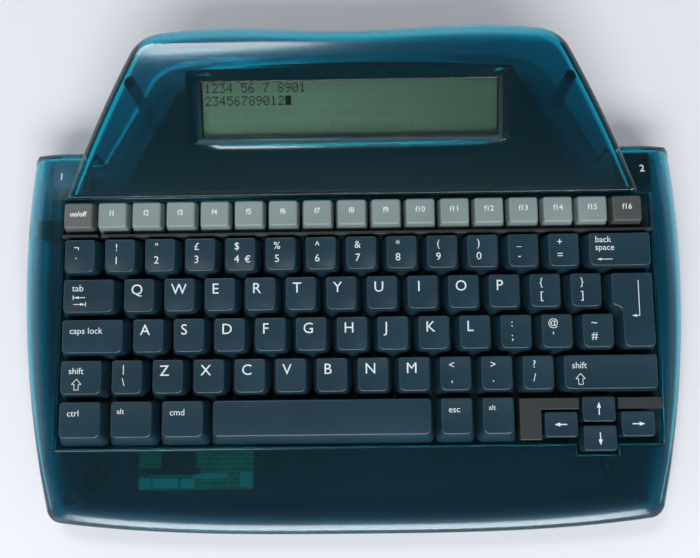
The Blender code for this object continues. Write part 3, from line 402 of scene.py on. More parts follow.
fittings = bmesh.new()
middle = (floor_low + floor_high) / 2
add_block(fittings, bay_x, bay_y, bay_half_x + bay_wall, bay_half_y + bay_wall, middle,
          bay_ceiling + bay_wall)
for x, y in screw_places():
    add_post(fittings, x, y, middle, parting, 3 * mm, 2.8 * mm)
pockets = bmesh.new()
for foot in feet:
    low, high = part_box(foot)
    add_post(pockets, (low.x + high.x) / 2, (low.y + high.y) / 2, -mm, 2.0 * mm, 6.3 * mm,
             segments=48)
add_box(pockets, (bay_x - bay_half_x - 2.8 * mm, bay_y - bay_half_y - 10.8 * mm, -mm),
        (bay_x + bay_half_x + 2.8 * mm, bay_y + bay_half_y + 2.8 * mm, 2.9 * mm))
open_screws = [place for place in screw_places() if abs(abs(place[0]) - 120 * mm) > mm]
for x, y in open_screws:
    add_post(pockets, x, y, -mm, 2.4 * mm, 2.4 * mm)
battery_room = bmesh.new()
add_block(battery_room, bay_x, bay_y, bay_half_x, bay_half_y, -mm, bay_ceiling)
tray = carve(tray_block(0, floor_low, parting),
             ('DIFFERENCE', tray_block(wall, floor_high, parting + 5 * mm)),
             ('UNION', fittings), ('DIFFERENCE', battery_room), ('DIFFERENCE', pockets))

base_finish = clouded("moulded tinted polycarbonate, satin", "#0a8496", "#0c8ea2", 60, 0.6, 0.02,
                      0.15, Roughness=0.22, IOR=1.58, Transmission_Weight=0.97)
fit_piece("base_tray", tray, base_finish, "case", ["lower_case"])


# Painted shade. A thin near-black sheet on the base's floor and on the battery bay under the
# display, painted shade for the dark deep inside the hump; it stops short of the walls, so that
# the tinted plastic stays clear along them.

shade_sheet_thickness = 0.1 * mm
shade_sheet_side_gap = 13 * mm
shade_sheet_rear_gap = 6 * mm


def shade_sheet_block(low, high):
    half = [Vector((min(p.x, hump_side(p.y) - shade_sheet_side_gap * hypot(1, hump_taper)), p.y))
            for p in hump_outline(shade_sheet_rear_gap, hump_front - 4 * mm)]
    return rising_block([level(whole([Vector((0, hump_front - 4 * mm))] + half), z)
                         for z in (low, high)])[0]


def bay_box(spread, low):
    bm = bmesh.new()
    more = bay_wall + spread
    add_block(bm, bay_x, bay_y, bay_half_x + more, bay_half_y + more, low, bay_ceiling + more)
    return bm


shade_sheet_low = floor_high + 0.03 * mm
shade_sheet = carve(shade_sheet_block(shade_sheet_low, shade_sheet_low + shade_sheet_thickness),
             ('UNION', bay_box(0.03 * mm + shade_sheet_thickness, shade_sheet_low)),
             ('DIFFERENCE', bay_box(0.03 * mm, shade_sheet_low - mm)))
# The sheet's near-black is painted shade, standing in for the dark deep inside the hump.
paint = clouded("near-black painted shade sheet", "#07090d", "#0c1118", 14, 0.7, 0.03, Roughness=0.6,
                IOR=1.5)
fit_piece("painted_shade_sheet", shade_sheet, paint, "case")


# Batteries. Three AA cells side by side in the bay, in shrunk plastic jackets with a metallic
# print, each with a steel nub and a flat steel end.

bm = bmesh.new()
caps = bmesh.new()
for i in range(3):
    cell = "battery_%d" % (i + 1)
    low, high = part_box(cell)
    centre = (low + high) / 2
    facing = 1 if i % 2 == 0 else -1
    half = (high.x - low.x) / 2
    radius = (high.z - low.z) / 2
    profile = [(half - 1.2 * mm, 4.4 * mm), (half - 1.2 * mm, radius - 0.8 * mm),
               (half - 1.5 * mm, radius - 0.25 * mm), (half - 2.1 * mm, radius),
               (-half + 0.8 * mm, radius), (-half + 0.25 * mm, radius - 0.25 * mm),
               (-half, radius - 0.8 * mm), (-half, 4.9 * mm)]
    line = [bm.verts.new(centre + Vector((facing * x, 0, r))) for x, r in profile]
    edges = [bm.edges.new(pair) for pair in zip(line, line[1:])]
    bmesh.ops.spin(bm, geom=line + edges, cent=centre, axis=(1, 0, 0), angle=2 * pi, steps=40,
                   use_merge=True)
    profile = [(half, 0), (half, 2.3 * mm), (half - 0.3 * mm, 2.75 * mm),
               (half - 1.25 * mm, 2.75 * mm), (half - 1.35 * mm, 4.6 * mm),
               (-half + 0.1 * mm, 5 * mm),
               (-half + 0.05 * mm, 0)]
    line = [caps.verts.new(centre + Vector((facing * x, 0, r))) for x, r in profile]
    edges = [caps.edges.new(pair) for pair in zip(line, line[1:])]
    bmesh.ops.spin(caps, geom=line + edges, cent=centre, axis=(1, 0, 0), angle=2 * pi, steps=32,
                   use_merge=True)
for shape in (bm, caps):
    bmesh.ops.remove_doubles(shape, verts=shape.verts, dist=0.005 * mm)
    bmesh.ops.recalc_face_normals(shape, faces=shape.faces)
jacket = clouded("printed shrink jacket", "#23262a", "#2f3338", 9, 0.8, 0.02, Roughness=0.3,
                 Metallic=0.55)
fit_piece("battery_jackets", bm, jacket, "case",
          ["battery_1", "battery_2", "battery_3"])
steel = clouded("nickel-plated steel", "#a9a8a2", "#c3c1ba", 3, 0.25, 0.01, 0.1, Roughness=0.28,
                Metallic=1.0)
fit_piece("battery_ends", caps, steel, "case")

# Battery cover. A thin tinted moulding that slides forward, with five thumb ribs.

low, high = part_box("battery_cover")
bm = bmesh.new()
add_box(bm, low, high)
soften(bm, upright_edges(bm), 1.5 * mm, 5)
ribs = bmesh.new()
for i in range(5):
    y = low.y + (6 + 2.2 * i) * mm
    add_block(ribs, bay_x, y, 9 * mm, 0.5 * mm, low.z - 0.2 * mm, low.z + 0.45 * mm)
bm = carve(bm, ('DIFFERENCE', ribs))
fit_piece("sliding_cover", bm, base_finish, "battery_door", ["battery_cover"])


# Main board. A glass-epoxy board with green solder resist, over the floor, with a row of header
# pins along its front edge, chips and pale small parts, seen through the front strip.

low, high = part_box("main_board")
bm = bmesh.new()
add_box(bm, low, high)
soften(bm, upright_edges(bm), 1.5 * mm, 4)
resist, shader = new_finish("solder resist on glass epoxy", Roughness=0.32, IOR=1.55)
place = add_node(resist, "TexCoord").outputs["Object"]
tracks = add_node(resist, "TexBrick", {"Scale": 1 / (9 * mm), "Mortar Size": 0.035,
                                       "Color1": rgb("#12c05f"), "Color2": rgb("#0da354"),
                                       "Mortar": rgb("#7fe0a0")}, {"Vector": place})
resist.node_tree.links.new(tracks.outputs["Color"], shader.inputs["Base Color"])
fit_piece("logic_board", bm, resist, "case", ["main_board"])

chips = clouded("moulded black epoxy", "#141516", "#202224", 3, 0.3, 0.02, Roughness=0.45, IOR=1.5)
chip_body = bmesh.new()
pins = bmesh.new()
pale = bmesh.new()
top = high.z
front = low.y
for x, y, width, depth, height in ((-84, 14, 16, 9, 1.6), (-64, 26, 14, 14, 1.6),
                                   (-92, 40, 10, 18, 1.6), (-66, 52, 18, 10, 1.6)):
    x, y, width, depth, height = x * mm, front + y * mm, width * mm, depth * mm, height * mm
    add_block(chip_body, x, y, width / 2, depth / 2, top + 0.15 * mm, top + 0.15 * mm + height)
    count = int(depth / (1.27 * mm))
    for i in range(count):
        pin_y = y + (i - (count - 1) / 2) * 1.27 * mm
        for side in (-1, 1):
            edge = x + side * width / 2
            add_box(pins, (min(edge, edge + side * 1.1 * mm), pin_y - 0.25 * mm, top),
                    (max(edge, edge + side * 1.1 * mm), pin_y + 0.25 * mm, top + 0.7 * mm))
for i in range(11):
    x = (-101 + 2.54 * i) * mm
    add_block(pins, x, front + 8.55 * mm, 0.35 * mm, 0.35 * mm, top, top + 5.0 * mm)
add_box(chip_body, (-102.5 * mm, front + 7.4 * mm, top),
        (-74 * mm, front + 9.7 * mm, top + 2.4 * mm))
for x, y, width, depth, height in ((-99.5, 3.2, 5.5, 5.0, 2.2), (-90, 3.4, 12, 4.2, 1.4),
                                   (-68.5, 6.6, 17, 2.6, 1.0), (-51.5, 4.6, 6, 7.2, 1.2),
                                   (-79, 3.2, 6, 4.4, 2.6)):
    add_block(pale, x * mm, front + y * mm, width / 2 * mm, depth / 2 * mm, top,
              top + height * mm)
for shape in (chip_body, pale):
    soften(shape, shape.edges[:], 0.15 * mm)
fit_piece("board_chips", chip_body, chips, "case")
fit_piece("board_pins", pins, steel, "case")
# The pale parts' mint white is brighter than their own colour: painted light, standing in for the
# light that reaches them through the shell.
ceramic = clouded("glazed ceramic and nylon parts, painted light", "#8dffb4", "#e4fff4", 7, 0.4, 0.02,
                  Roughness=0.35, IOR=1.5)
fit_piece("board_parts", pale, ceramic, "case")


# Keyboard stack. A zinc-plated steel backplate, the grey rubber sheet with its domes, and the
# moulded frame whose wells guide the keys; its rail and fillers are textured olive grey, and below
# them it is near-black, painted shade in the wells under the caps.

zinc = clouded("zinc-plated sheet steel", "#8f9294", "#aeb1b2", 12, 0.5, 0.02, 0.1, Roughness=0.36,
               Metallic=1.0)
rubber = clouded("moulded silicone rubber", "#9b9c96", "#adaea8", 15, 0.4, 0.03, Roughness=0.7,
                 IOR=1.41)


def refinish(node, finish):
    """Give a solid of the frame its finish and return it."""
    solid = frame["nodes"][node]
    solid.data.materials.clear()
    solid.data.materials.append(finish)
    return solid


refinish("keyboard_backplate", zinc)
refinish("dome_sheet", rubber)

frame_shaded_low = clouded("moulded ABS, spark-eroded olive, painted shade below", "#0c0f10", "#14181a", 20, 0.35,
                      0.04, Roughness=0.5, IOR=1.54)
base_colour = frame_shaded_low.node_tree.nodes["Principled BSDF"].inputs["Base Color"]
place = add_node(frame_shaded_low, "TexCoord").outputs["Object"]
upward = (0, -sin(slope), cos(slope))
across = add_node(frame_shaded_low, "VectorMath", {"operation": 'DOT_PRODUCT', 1: upward}, {0: place})
# Olive grey above the raised faces' level, near-black below it: the near-black is painted shade.
raised = add_node(frame_shaded_low, "MapRange", {"From Min": 19.5 * mm, "From Max": 21.5 * mm},
                  {"Value": across.outputs["Value"]})
olive = add_node(frame_shaded_low, "Mix", {"data_type": 'RGBA', 7: rgb("#252d2d")},
                 {0: raised.outputs["Result"], 6: base_colour.links[0].from_socket})
frame_shaded_low.node_tree.links.new(olive.outputs[2], base_colour)
wells = refinish("keyboard_frame", frame_shaded_low)
weld = wells.modifiers.new("weld", 'WELD')
weld.merge_threshold = 0.005 * mm
soft = wells.modifiers.new("soft edges", 'BEVEL')
soft.width = 0.35 * mm
soft.segments = 2
soft.angle_limit = radians(40)


# Keys. Injection-moulded ABS caps in slate teal, 17 grey ones in the function row, with white
# legends printed on. A cap is a tapered block with round corners, a soft edge and a dished top.

symbol, modifier, escape = "symbol_keys", "modifier_keys", "escape_keys"
number_legends = ("¬`", "!1", "\"2", "£3", "$4", "%5", "^6", "&7", "*8", "(9", ")0", "_-", "+=")
key_rows = (
    [("number_keys", 1, pair) for pair in number_legends] + [("backspace", 1.75, "back")],
    [("tab", 1.5, "tab")] + [(c, 1, c.upper()) for c in "qwertyuiop"]
    + [(symbol, 1, "{["), (symbol, 1, "}]"), ("enter", 1.25, "enter")],
    [("caps_lock", 1.75, "caps lock")] + [(c, 1, c.upper()) for c in "asdfghjkl"]
    + [(symbol, 1, ":;"), (symbol, 1, "@'"), (symbol, 1, "~#"), ("enter", 1, "")],
    [("shift_left", 1.25, "shift"), (modifier, 1, "|\\")] + [(c, 1, c.upper()) for c in "zxcvbnm"]
    + [(symbol, 1, "<,"), (symbol, 1, ">."), (symbol, 1, "?/"), ("shift_right", 2.5, "shift")],
    [(modifier, 1.25, "ctrl"), (modifier, 1.25, "alt"), (modifier, 1.25, "cmd"), ("space", 5.5, ""),
     (escape, 1, "esc"), (escape, 1, "alt")],
)
# The photograph shows the function caps a little left of their wells; their stems stay in them.
function_shift = 2.0 * mm
function_legends = ["on/off"] + ["f%d" % i for i in range(1, 17)]
arrow_right = field_half - 4.1 * mm - 8.325 * mm
arrow_columns = (arrow_right - 35 * mm, arrow_right - 17.5 * mm, arrow_right)
arrow_up = -4 * key_pitch + cap_depth / 2 - 6.25 * mm
arrow_rows = (arrow_up, arrow_up - 6.8 * mm, arrow_up - 13.1 * mm)

# Each kind of cap: side, rear and front taper, drop of its top, dish, rear and front corner radii.
cap_kinds = {
    "main": (2.2, 0.3, 2.6, 0, 1.0, 1.3, 2.6),
    "bottom": (2.2, 0.3, 4.4, 0, 1.0, 1.3, 2.6),
    "bar": (2.0, 0.3, 4.4, 0, -0.5, 1.3, 2.6),
    "function": (1.0, 0.6, 1.9, 2.0, -0.25, 1.1, 1.3),
    "arrow": (0.9, 0.3, 0.9, 0.8, 0.6, 1.0, 1.5),
}
cap_height = 8.5 * mm
stem_half, stem_reach = 3.1 * mm, 5.1 * mm


def key_cells():
    """Every cap as (body, kind, left, front, right, rear, legend) on the plane of the key tops."""
    cells = []
    for row, keys in enumerate(key_rows):
        left = -field_half
        for body, units, legend in keys:
            right = left + units * key_pitch
            kind = "main" if row < 4 else "bar" if body == "space" else "bottom"
            middle = -row * key_pitch
            front = middle - cap_depth / 2 - (2.6 * mm if row == 4 else 0)
            cells.append((body, kind, left + key_room / 2, front, right - key_room / 2,
                          middle + cap_depth / 2, legend))
            left = right
    for i, legend in enumerate(function_legends):
        middle = (i - 8) * 16.37 * mm - function_shift
        cells.append(("function_keys", "function", middle - 7.65 * mm, 13.1 * mm,
                      middle + 7.65 * mm, 27.7 * mm, legend))
    for column, row, legend in ((0, 1, "left"), (1, 0, "up"), (1, 2, "down"), (2, 1, "right")):
        u, v = arrow_columns[column], arrow_rows[row]
        cells.append(("arrow_keys", "arrow", u - 8.325 * mm, v - 6.25 * mm, u + 8.325 * mm,
                      v + 6.25 * mm, legend))
    return cells


def drawn_in(outline, side, rear, front):
    """Move every edge of a square-cornered outline inwards by its own taper."""
    moved = []
    for i, (u, v) in enumerate(outline):
        for a, b in ((outline[i - 1], (u, v)), ((u, v), outline[(i + 1) % len(outline)])):
            if abs(b[1] - a[1]) > abs(b[0] - a[0]):
                u -= side if b[1] > a[1] else -side
            else:
                v += front if b[0] > a[0] else -rear
        moved.append((u, v))
    return moved


def extent(outline):
    """Left, right, front and rear of an outline."""
    us, vs = [p[0] for p in outline], [p[1] for p in outline]
    return min(us), max(us), min(vs), max(vs)


def dish_fall(kind, outline, u, v):
    """How far the top has sunk: a shallow bowl in a cap, a crown along bar and function caps."""
    side, rear, front, _, dish = cap_kinds[kind][:5]
    left, right, low, high = extent(outline)
    if dish > 0:
        across = (u - (left + right) / 2) / ((right - left) / 2 - side * mm)
        low, high = low + front * mm, high - rear * mm
        along = (v - (low + high) / 2) / ((high - low) / 2)
        return dish * mm * (1 - (min(across ** 2, 1) + min(along ** 2, 1)) / 2)
    share = (v - (low + high) / 2) / ((high - low) / 2)
    return -dish * mm * share ** 2


def add_cap(bm, kind, outline):
    """Extrude, taper, round and dish one key cap, and give it its wall and stem."""
    side, rear, front, drop, dish, rear_radius, front_radius = cap_kinds[kind]
    cap = bmesh.new()
    foot = cap.faces.new([cap.verts.new((u, v, -cap_height)) for u, v in outline])
    grown = bmesh.ops.extrude_face_region(cap, geom=[foot])["geom"]
    top = next(item for item in grown if isinstance(item, bmesh.types.BMFace))
    for vert, (u, v) in zip(top.verts, drawn_in(outline, side * mm, rear * mm, front * mm)):
        vert.co = (u, v, -drop * mm)
    bmesh.ops.recalc_face_normals(cap, faces=cap.faces)
    left, right, foremost, rearmost = extent(outline)
    groups = {rear_radius: [], front_radius: []}
    for edge in upright_edges(cap):
        low = min(edge.verts, key=lambda v: v.co.z)
        groups[rear_radius if rearmost - low.co.y < mm else front_radius].append(edge)
    for radius, edges in groups.items():
        edges = [e for e in edges if e.is_valid]
        soften(cap, edges, radius * mm, 4)
    top = max(cap.faces, key=lambda f: f.calc_center_median().z)
    soften(cap, list(top.edges), (0.55 if kind != "function" else 0.8) * mm, 3)
    cuts = [(foremost + front * mm, rearmost - rear * mm, (0, 1, 0))]
    if dish > 0:
        cuts.append((left + side * mm, right - side * mm, (1, 0, 0)))
    for low, high, normal in cuts:
        for i in range(1, 8):
            at = low + (high - low) * i / 8
            bmesh.ops.bisect_plane(cap, geom=cap.verts[:] + cap.edges[:] + cap.faces[:],
                                   plane_co=Vector(normal) * at, plane_no=normal, dist=0.01 * mm)
    for vert in cap.verts:
        depth = -vert.co.z - drop * mm
        fade = max(0, 1 - depth / (2.5 * mm))
        vert.co.z -= fade * dish_fall(kind, outline, vert.co.x, vert.co.y)
    floor = [f for f in cap.faces if f.calc_center_median().z < -cap_height + 0.01 * mm]
    bmesh.ops.delete(cap, geom=floor, context='FACES')
    stem_u, stem_v = (left + right) / 2, (foremost + rearmost) / 2
    if kind in ("bottom", "bar"):
        stem_v = rearmost - cap_depth / 2
    if kind == "function":
        stem_u += function_shift
    if len(outline) > 4:
        stem_u = (outline[0][0] + outline[1][0]) / 2
    shell = as_object("cap", cap)
    thick = shell.modifiers.new("wall", 'SOLIDIFY')
    thick.thickness = 1.2 * mm
    thick.offset = -1
    bpy.context.view_layer.update()
    start = len(bm.verts)
    bm.from_object(shell, bpy.context.evaluated_depsgraph_get())
    bpy.data.meshes.remove(shell.data)
    for vert in list(bm.verts)[start:]:
        vert.co.z = max(vert.co.z, -cap_height)
    add_block(bm, stem_u, stem_v, stem_half, stem_half, -cap_height - stem_reach,
              -1.9 * mm - drop * mm)


def add_words(bm, text, size, u, v, align='LEFT', bold=0.0):
    """Set words in the plain built-in face, raised a hair, with their left foot at a place."""
    words = bpy.data.curves.new("words", 'FONT')
    words.body = text
    words.size = size * mm / 0.7
    words.align_x = align
    words.resolution_u = 3
    words.extrude = 0.03 * mm
    words.offset = bold * mm
    holder = bpy.data.objects.new("words", words)
    bpy.context.scene.collection.objects.link(holder)
    bpy.context.view_layer.update()
    drawn = bpy.data.meshes.new_from_object(holder)
    drawn.transform(Matrix.Translation((u, v, 0)))
    bm.from_mesh(drawn)
    bpy.data.meshes.remove(drawn)
    bpy.data.objects.remove(holder)


def add_line(bm, u0, v0, u1, v1, width=0.35):
    """A printed line between two places."""
    run = Vector((u1 - u0, v1 - v0))
    turn = Matrix.Rotation(Vector((1, 0)).angle_signed(run) * -1, 4, 'Z')
    place = Matrix.Translation(((u0 + u1) / 2, (v0 + v1) / 2, 0)) @ turn
    scale = Matrix.Diagonal((run.length, width * mm, 0.06 * mm, 1))
    bmesh.ops.create_cube(bm, size=1.0, matrix=place @ scale)


def add_head(bm, u, v, direction, length=2.2, width=1.3):
    """A printed arrow head with its tip at a place."""
    outline = [(0, 0), (-length, width / 2), (-length, -width / 2)]
    turn = Matrix.Rotation(direction, 2)
    corners = [Vector((u, v)) + turn @ Vector((a * mm, b * mm)) for a, b in outline]
    face = bm.faces.new([bm.verts.new((*corner, -0.03 * mm)) for corner in corners])
    grown = bmesh.ops.extrude_face_region(bm, geom=[face])["geom"]
    bmesh.ops.translate(bm, vec=(0, 0, 0.06 * mm),
                        verts=[item for item in grown if isinstance(item, bmesh.types.BMVert)])


def add_legend(bm, kind, body, legend, left, rear, right, front):
    """Print a legend on a cap top, given the edges of that top."""
    def words(text, size, across, down, *more):
        add_words(bm, text, size, left + across * mm, rear - down * mm, *more)

    if kind == "function":
        size = 2.3 if len(legend) > 3 else 2.6
        add_words(bm, legend, size, (left + right) / 2, rear - 6.4 * mm, 'CENTER',
                  0.09 if len(legend) > 3 else 0.05)
    elif kind == "arrow":
        u, v = (left + right) / 2, (rear + front) / 2
        du, dv = {"left": (-1, 0), "up": (0, 1), "down": (0, -1), "right": (1, 0)}[legend]
        add_line(bm, u - du * 2.6 * mm, v - dv * 2.6 * mm, u + du * 2 * mm, v + dv * 2 * mm, 0.5)
        turn = {"left": pi, "up": pi / 2, "down": -pi / 2, "right": 0}[legend]
        add_head(bm, u + du * 3.2 * mm, v + dv * 3.2 * mm, turn, 2.6, 1.9)
    elif body == "backspace":
        words("back", 2.9, 2.6, 4.3)
        words("space", 2.9, 2.6, 8.0)
        add_line(bm, left + 4 * mm, rear - 12.4 * mm, left + 10.6 * mm, rear - 12.4 * mm)
        add_head(bm, left + 3.2 * mm, rear - 12.4 * mm, pi)
    elif body == "tab":
        words("tab", 3.0, 3.8, 5.4)
        for v, turn in ((-8.4, pi), (-11.6, 0)):
            v = rear + v * mm
            end = left + (10.3 * mm if turn == 0 else 4.4 * mm)
            add_line(bm, left + 4.6 * mm, v, left + 10 * mm, v)
            add_line(bm, end, v - 1.1 * mm, end, v + 1.1 * mm)
            add_head(bm, end + (0.3 * mm if turn else -0.3 * mm), v, turn)
    elif body == "enter":
        u, v = right - 6.4 * mm, rear - 20 * mm
        add_line(bm, u, rear - 3.5 * mm, u, v)
        add_line(bm, u, v, u - 2.2 * mm, v)
        add_head(bm, u - 3.6 * mm, v, pi)
    elif legend == "shift":
        words("shift", 2.9, 3.4, 6.0)
        u, v = left + 7.2 * mm, rear - 13.4 * mm
        for a, b in (((-1, 0), (1, 0)), ((-1, 0), (-1, 2.6)), ((1, 0), (1, 2.6)),
                     ((-1, 2.6), (-2.2, 2.6)), ((1, 2.6), (2.2, 2.6)), ((-2.2, 2.6), (0, 5)),
                     ((2.2, 2.6), (0, 5))):
            add_line(bm, u + a[0] * mm, v + a[1] * mm, u + b[0] * mm, v + b[1] * mm, 0.3)
    elif legend == "alt":
        words("alt", 2.4, 2.6, 5.5)
    elif legend in ("ctrl", "cmd", "esc", "caps lock"):
        words(legend, 2.9, 3.2, 6.4)
    elif len(legend) == 2:
        words(legend[0], 3.4, 5.2, 5.4, 'CENTER')
        words(legend[1], 3.6, 5.2, 11.7, 'CENTER')
        if legend == "$4":
            words("€", 3.2, 10.4, 11.7, 'CENTER', 0.04)
    elif legend:
        words(legend, 4.9, 4.3 if legend == "I" else 3.0, 7.3)


key_plastic = clouded("moulded ABS, fine-textured slate teal", "#1a323d", "#1f3b47", 30, 0.4, 0.03,
                      0.25, Roughness=0.33, IOR=1.54)
grey_plastic = clouded("moulded ABS, fine-textured grey", "#7b8a88", "#859391", 30, 0.4, 0.03,
                       0.25, Roughness=0.45, IOR=1.54)
ink = clouded("pad-printed white ink", "#d6dcda", "#e6eae8", 4, 0.3, 0.01, 0.1, Roughness=0.5,
              IOR=1.5)
grey_ends = {}
for number, dark, pale_tone in ((0, "#5a5e5c", "#636765"), (16, "#464848", "#4e5050")):
    grey_ends[number] = clouded("moulded ABS, fine-textured grey %d" % number, dark, pale_tone, 30,
                                0.4, 0.03, 0.25, Roughness=0.45, IOR=1.54)

by_body = {}
for body, kind, left, front, right, rear, legend in key_cells():
    outline = [(left, front), (right, front), (right, rear), (left, rear)]
    by_body.setdefault(body, []).append((kind, outline, legend))
(upper, legend), (kind, lower) = by_body["enter"][0][1:], by_body["enter"][1][:2]
by_body["enter"] = [(kind, [lower[0], lower[1], upper[2], upper[3], upper[0],
                            (lower[0][0], upper[0][1])], legend)]
nodes_of = frame["record"]["behaviour"]["bodies"]
for body, caps in by_body.items():
    bm = bmesh.new()
    legends = bmesh.new()
    ends = []
    for number, (kind, outline, legend) in enumerate(caps):
        start = len(bm.faces)
        add_cap(bm, kind, outline)
        if kind == "function" and number in grey_ends:
            ends += [(i, number) for i in range(start, len(bm.faces))]
        side, rear, front, drop = [size * mm for size in cap_kinds[kind][:4]]
        left, right, foremost, rearmost = extent(outline)
        print_ = bmesh.new()
        add_legend(print_, kind, body, legend, left + side, rearmost - rear, right - side,
                   foremost + front)
        for vert in print_.verts:
            vert.co.z += 0.03 * mm - drop - dish_fall(kind, outline, vert.co.x, vert.co.y)
        pour(legends, print_)
    for shape in (bm, legends):
        bmesh.ops.transform(shape, matrix=key_plane, verts=shape.verts)
    plastic = grey_plastic if body == "function_keys" else key_plastic
    piece = fit_piece("caps_" + body, bm, plastic, body, nodes_of[body])
    for number, finish in grey_ends.items():
        if ends:
            piece.data.materials.append(finish)
    for i, number in ends:
        piece.data.polygons[i].material_index = 1 if number == 0 else 2
    if len(legends.verts):
        fit_piece("legend_" + body, legends, ink, body)


# Top shell. One injection moulding in gloss see-through teal polycarbonate: keyboard slab, two
# shoulders and the display hump, with the key opening, the display recess and screw posts inside.

def rim_height(y):
    """Height of the shell beside the keys, and of the shoulders behind them."""
    behind = max(y - hump_front, 0)
    rise = (min(y, hump_front) - number_row) * tan(slope)
    return key_top_height - rim_drop * cos(slope) + rise - shoulder_fall * behind / shoulder_depth


def hump_height(y):
    """Height of the hump's top: steep above the keys and level at the crest."""
    share = min(max((y - hump_front) / (crest - hump_front), 0), 1)
    foot = rim_height(hump_front) + 0.8 * mm
    return foot + (crest_height - foot) * (1 - (1 - share) ** 1.5)


def rolled_block(outer, inner, bands, height, low):
    """Upright walls that roll over to a top; bands say how far down each place starts to roll."""
    rings = [level(outer, low)]
    for i in range(roll_steps + 1):
        turn = radians(90) * i / roll_steps
        ring = []
        for far, near, band in zip(outer, inner, bands):
            flat = near + (far - near) * cos(turn)
            ring.append(Vector((flat.x, flat.y, height(near.y) - band * (1 - sin(turn)))))
        rings.append(ring)
    return rising_block(rings)


def slab_block(inset, low):
    """The keyboard slab, hollowed or not, down to a level."""
    drop = wall if inset else 0
    plans = []
    for roll in (0.0, 1.0):
        half = front_and_side(inset, roll * 15.75 * mm, roll * 14 * mm)
        half += shoulder_outline(inset, roll)
        half.append(Vector((0, shoulder_rear - inset - roll * 3 * mm)))
        plans.append(whole(half))
    tall = front_steps + corner_steps + 1 + side_steps + 4
    shares = [1.0] * tall + [1 - i / corner_steps for i in range(corner_steps + 1)] + [0.0] * 5
    shares += shares[-2:0:-1]
    bands = []
    for near, share in zip(plans[1], shares):
        full = rim_height(near.y) - drop - parting - 2 * mm
        bands.append(3 * mm + (full - 3 * mm) * share)
    bm, top = rolled_block(*plans, bands, lambda y: rim_height(y) - drop, low)
    edge = sorted((v for v in top.verts if abs(v.co.y - hump_front) < 0.02 * mm),
                  key=lambda v: v.co.x)
    bmesh.ops.connect_verts(bm, verts=[edge[0], edge[-1]])
    return bm


def hump_block(inset, low):
    """The display hump, hollowed or not, down to a level, its top ruled from side to side."""
    drop = wall if inset else 0
    plans = []
    for roll in (0.0, 1.0):
        start = hump_front + inset + roll * mm
        plans.append(whole([Vector((0, start))] + hump_outline(inset, start, roll)))
    bands = [(far - near).length for far, near in zip(*plans)]
    bm, top = rolled_block(*plans, bands, lambda y: hump_height(y) - drop, low)
    verts = list(top.verts)
    for i in range(2, hump_steps + corner_steps + 1):
        bmesh.ops.connect_verts(bm, verts=[verts[i], verts[-i]])
    return bm


display_slope = radians(21)
display_half_u, display_half_v = 71.7 * mm, 13.4 * mm
display_y = hump_front + 0.484 * hump_depth
display_z = crest_height - 8.7 * mm
display_plane = (Matrix.Translation((0, display_y, display_z))
                 @ Matrix.Rotation(display_slope, 4, 'X'))


def recess_outlines(grow, lip):
    """The recess's floor and mouth, seen from above, and whether each place is on the front lip."""
    half_u, half_v = display_half_u + grow, display_half_v + grow
    lip_y = (display_plane @ Vector((0, -display_half_v, 0))).y - lip - grow
    tip_y = (display_plane @ Vector((0, display_half_v, 0))).y + 4.1 * mm + grow
    lip_half, tip_half = half_u + 5.7 * mm, half_u + 8.4 * mm
    window, mouth, front = [], [], []
    for i in range(13):
        share = -1 + i / 6
        window.append((half_u * share, -half_v))
        mouth.append((lip_half * share, lip_y + 1.6 * mm * share ** 6))
        front.append(True)
    for i in range(17):
        share = 1 - i / 8
        window.append((half_u * share, half_v))
        mouth.append((tip_half * share, tip_y + 7.1 * mm * (1 - share ** 2)))
        front.append(False)
    return window, mouth, front


def recess_cutter():
    """The hollow of the recess: a rolled front lip, sloping sides and an arched rear."""
    window, mouth, front = recess_outlines(0, 10.0 * mm)
    rings = [[display_plane @ Vector((u, v, -6 * mm)) for u, v in window]]
    floor = [display_plane @ Vector((u, v, 0)) for u, v in window]
    for i in range(8):
        ring = []
        for start, end, rolled in zip(floor, mouth, front):
            plan_share = i / 6
            rise_share = 1 - (1 - i / 6) ** 2 if rolled else i / 6
            if rolled and i == 7:
                plan_share, rise_share = 1.25, 1.05
            elif i == 7:
                plan_share = rise_share = 1.12
            x = start.x + (end[0] - start.x) * plan_share
            y = start.y + (end[1] - start.y) * plan_share
            depth = (hump_height(start.y) - start.z) * (1 - rise_share)
            ring.append(Vector((x, y, hump_height(y) - depth)))
        rings.append(ring)
    rings.append([point + Vector((0, 0, 8 * mm)) for point in rings[-1]])
    return rising_block(rings)[0]


def recess_jacket(spread=0.0):
    """The block that leaves a wall round the recess."""
    window, mouth, _ = recess_outlines(wall + spread, 4.0 * mm)
    rings = [[display_plane @ Vector((u, v, -wall - spread)) for u, v in window]]
    rings.append([Vector((x, y, hump_height(y) + 0.2 * mm)) for x, y in mouth])
    rings.append([point + Vector((0, 0, 6 * mm)) for point in rings[-1]])
    return rising_block(rings)[0]


def opening_outline(grow, rear_grow):
    """The key opening with its notch for the lowest arrow key, on the plane of the key tops."""
    front = opening_front - grow
    notch = arrow_rows[2] - 7.25 * mm - grow
    notch_half = 9.325 * mm + grow
    middle = arrow_columns[1]
    half, rear = opening_half + grow, opening_rear + rear_grow
    return [(-half, front), (middle - notch_half, front), (middle - notch_half, notch),
            (middle + notch_half, notch), (middle + notch_half, front), (half, front),
            (half, rear), (-half, rear)]


def opening_block(rings):
    return rising_block([[key_plane @ Vector((u, v, w)) for u, v in opening_outline(grow, rear)]
                         for grow, rear, w in rings])[0]


opening_roll, collar = 1.5 * mm, 1.8 * mm
opening_rings = [(0, 0, -18.4 * mm)]
for i in range(6):
    turn = radians(15 * i)
    opening_rings.append((opening_roll * (1 - cos(turn)), 0,
                          -rim_drop - opening_roll * (1 - sin(turn))))
opening_rings += [(opening_roll * 1.6, 0, -rim_drop + 0.2 * mm), (opening_roll * 1.6, 0, 6 * mm)]

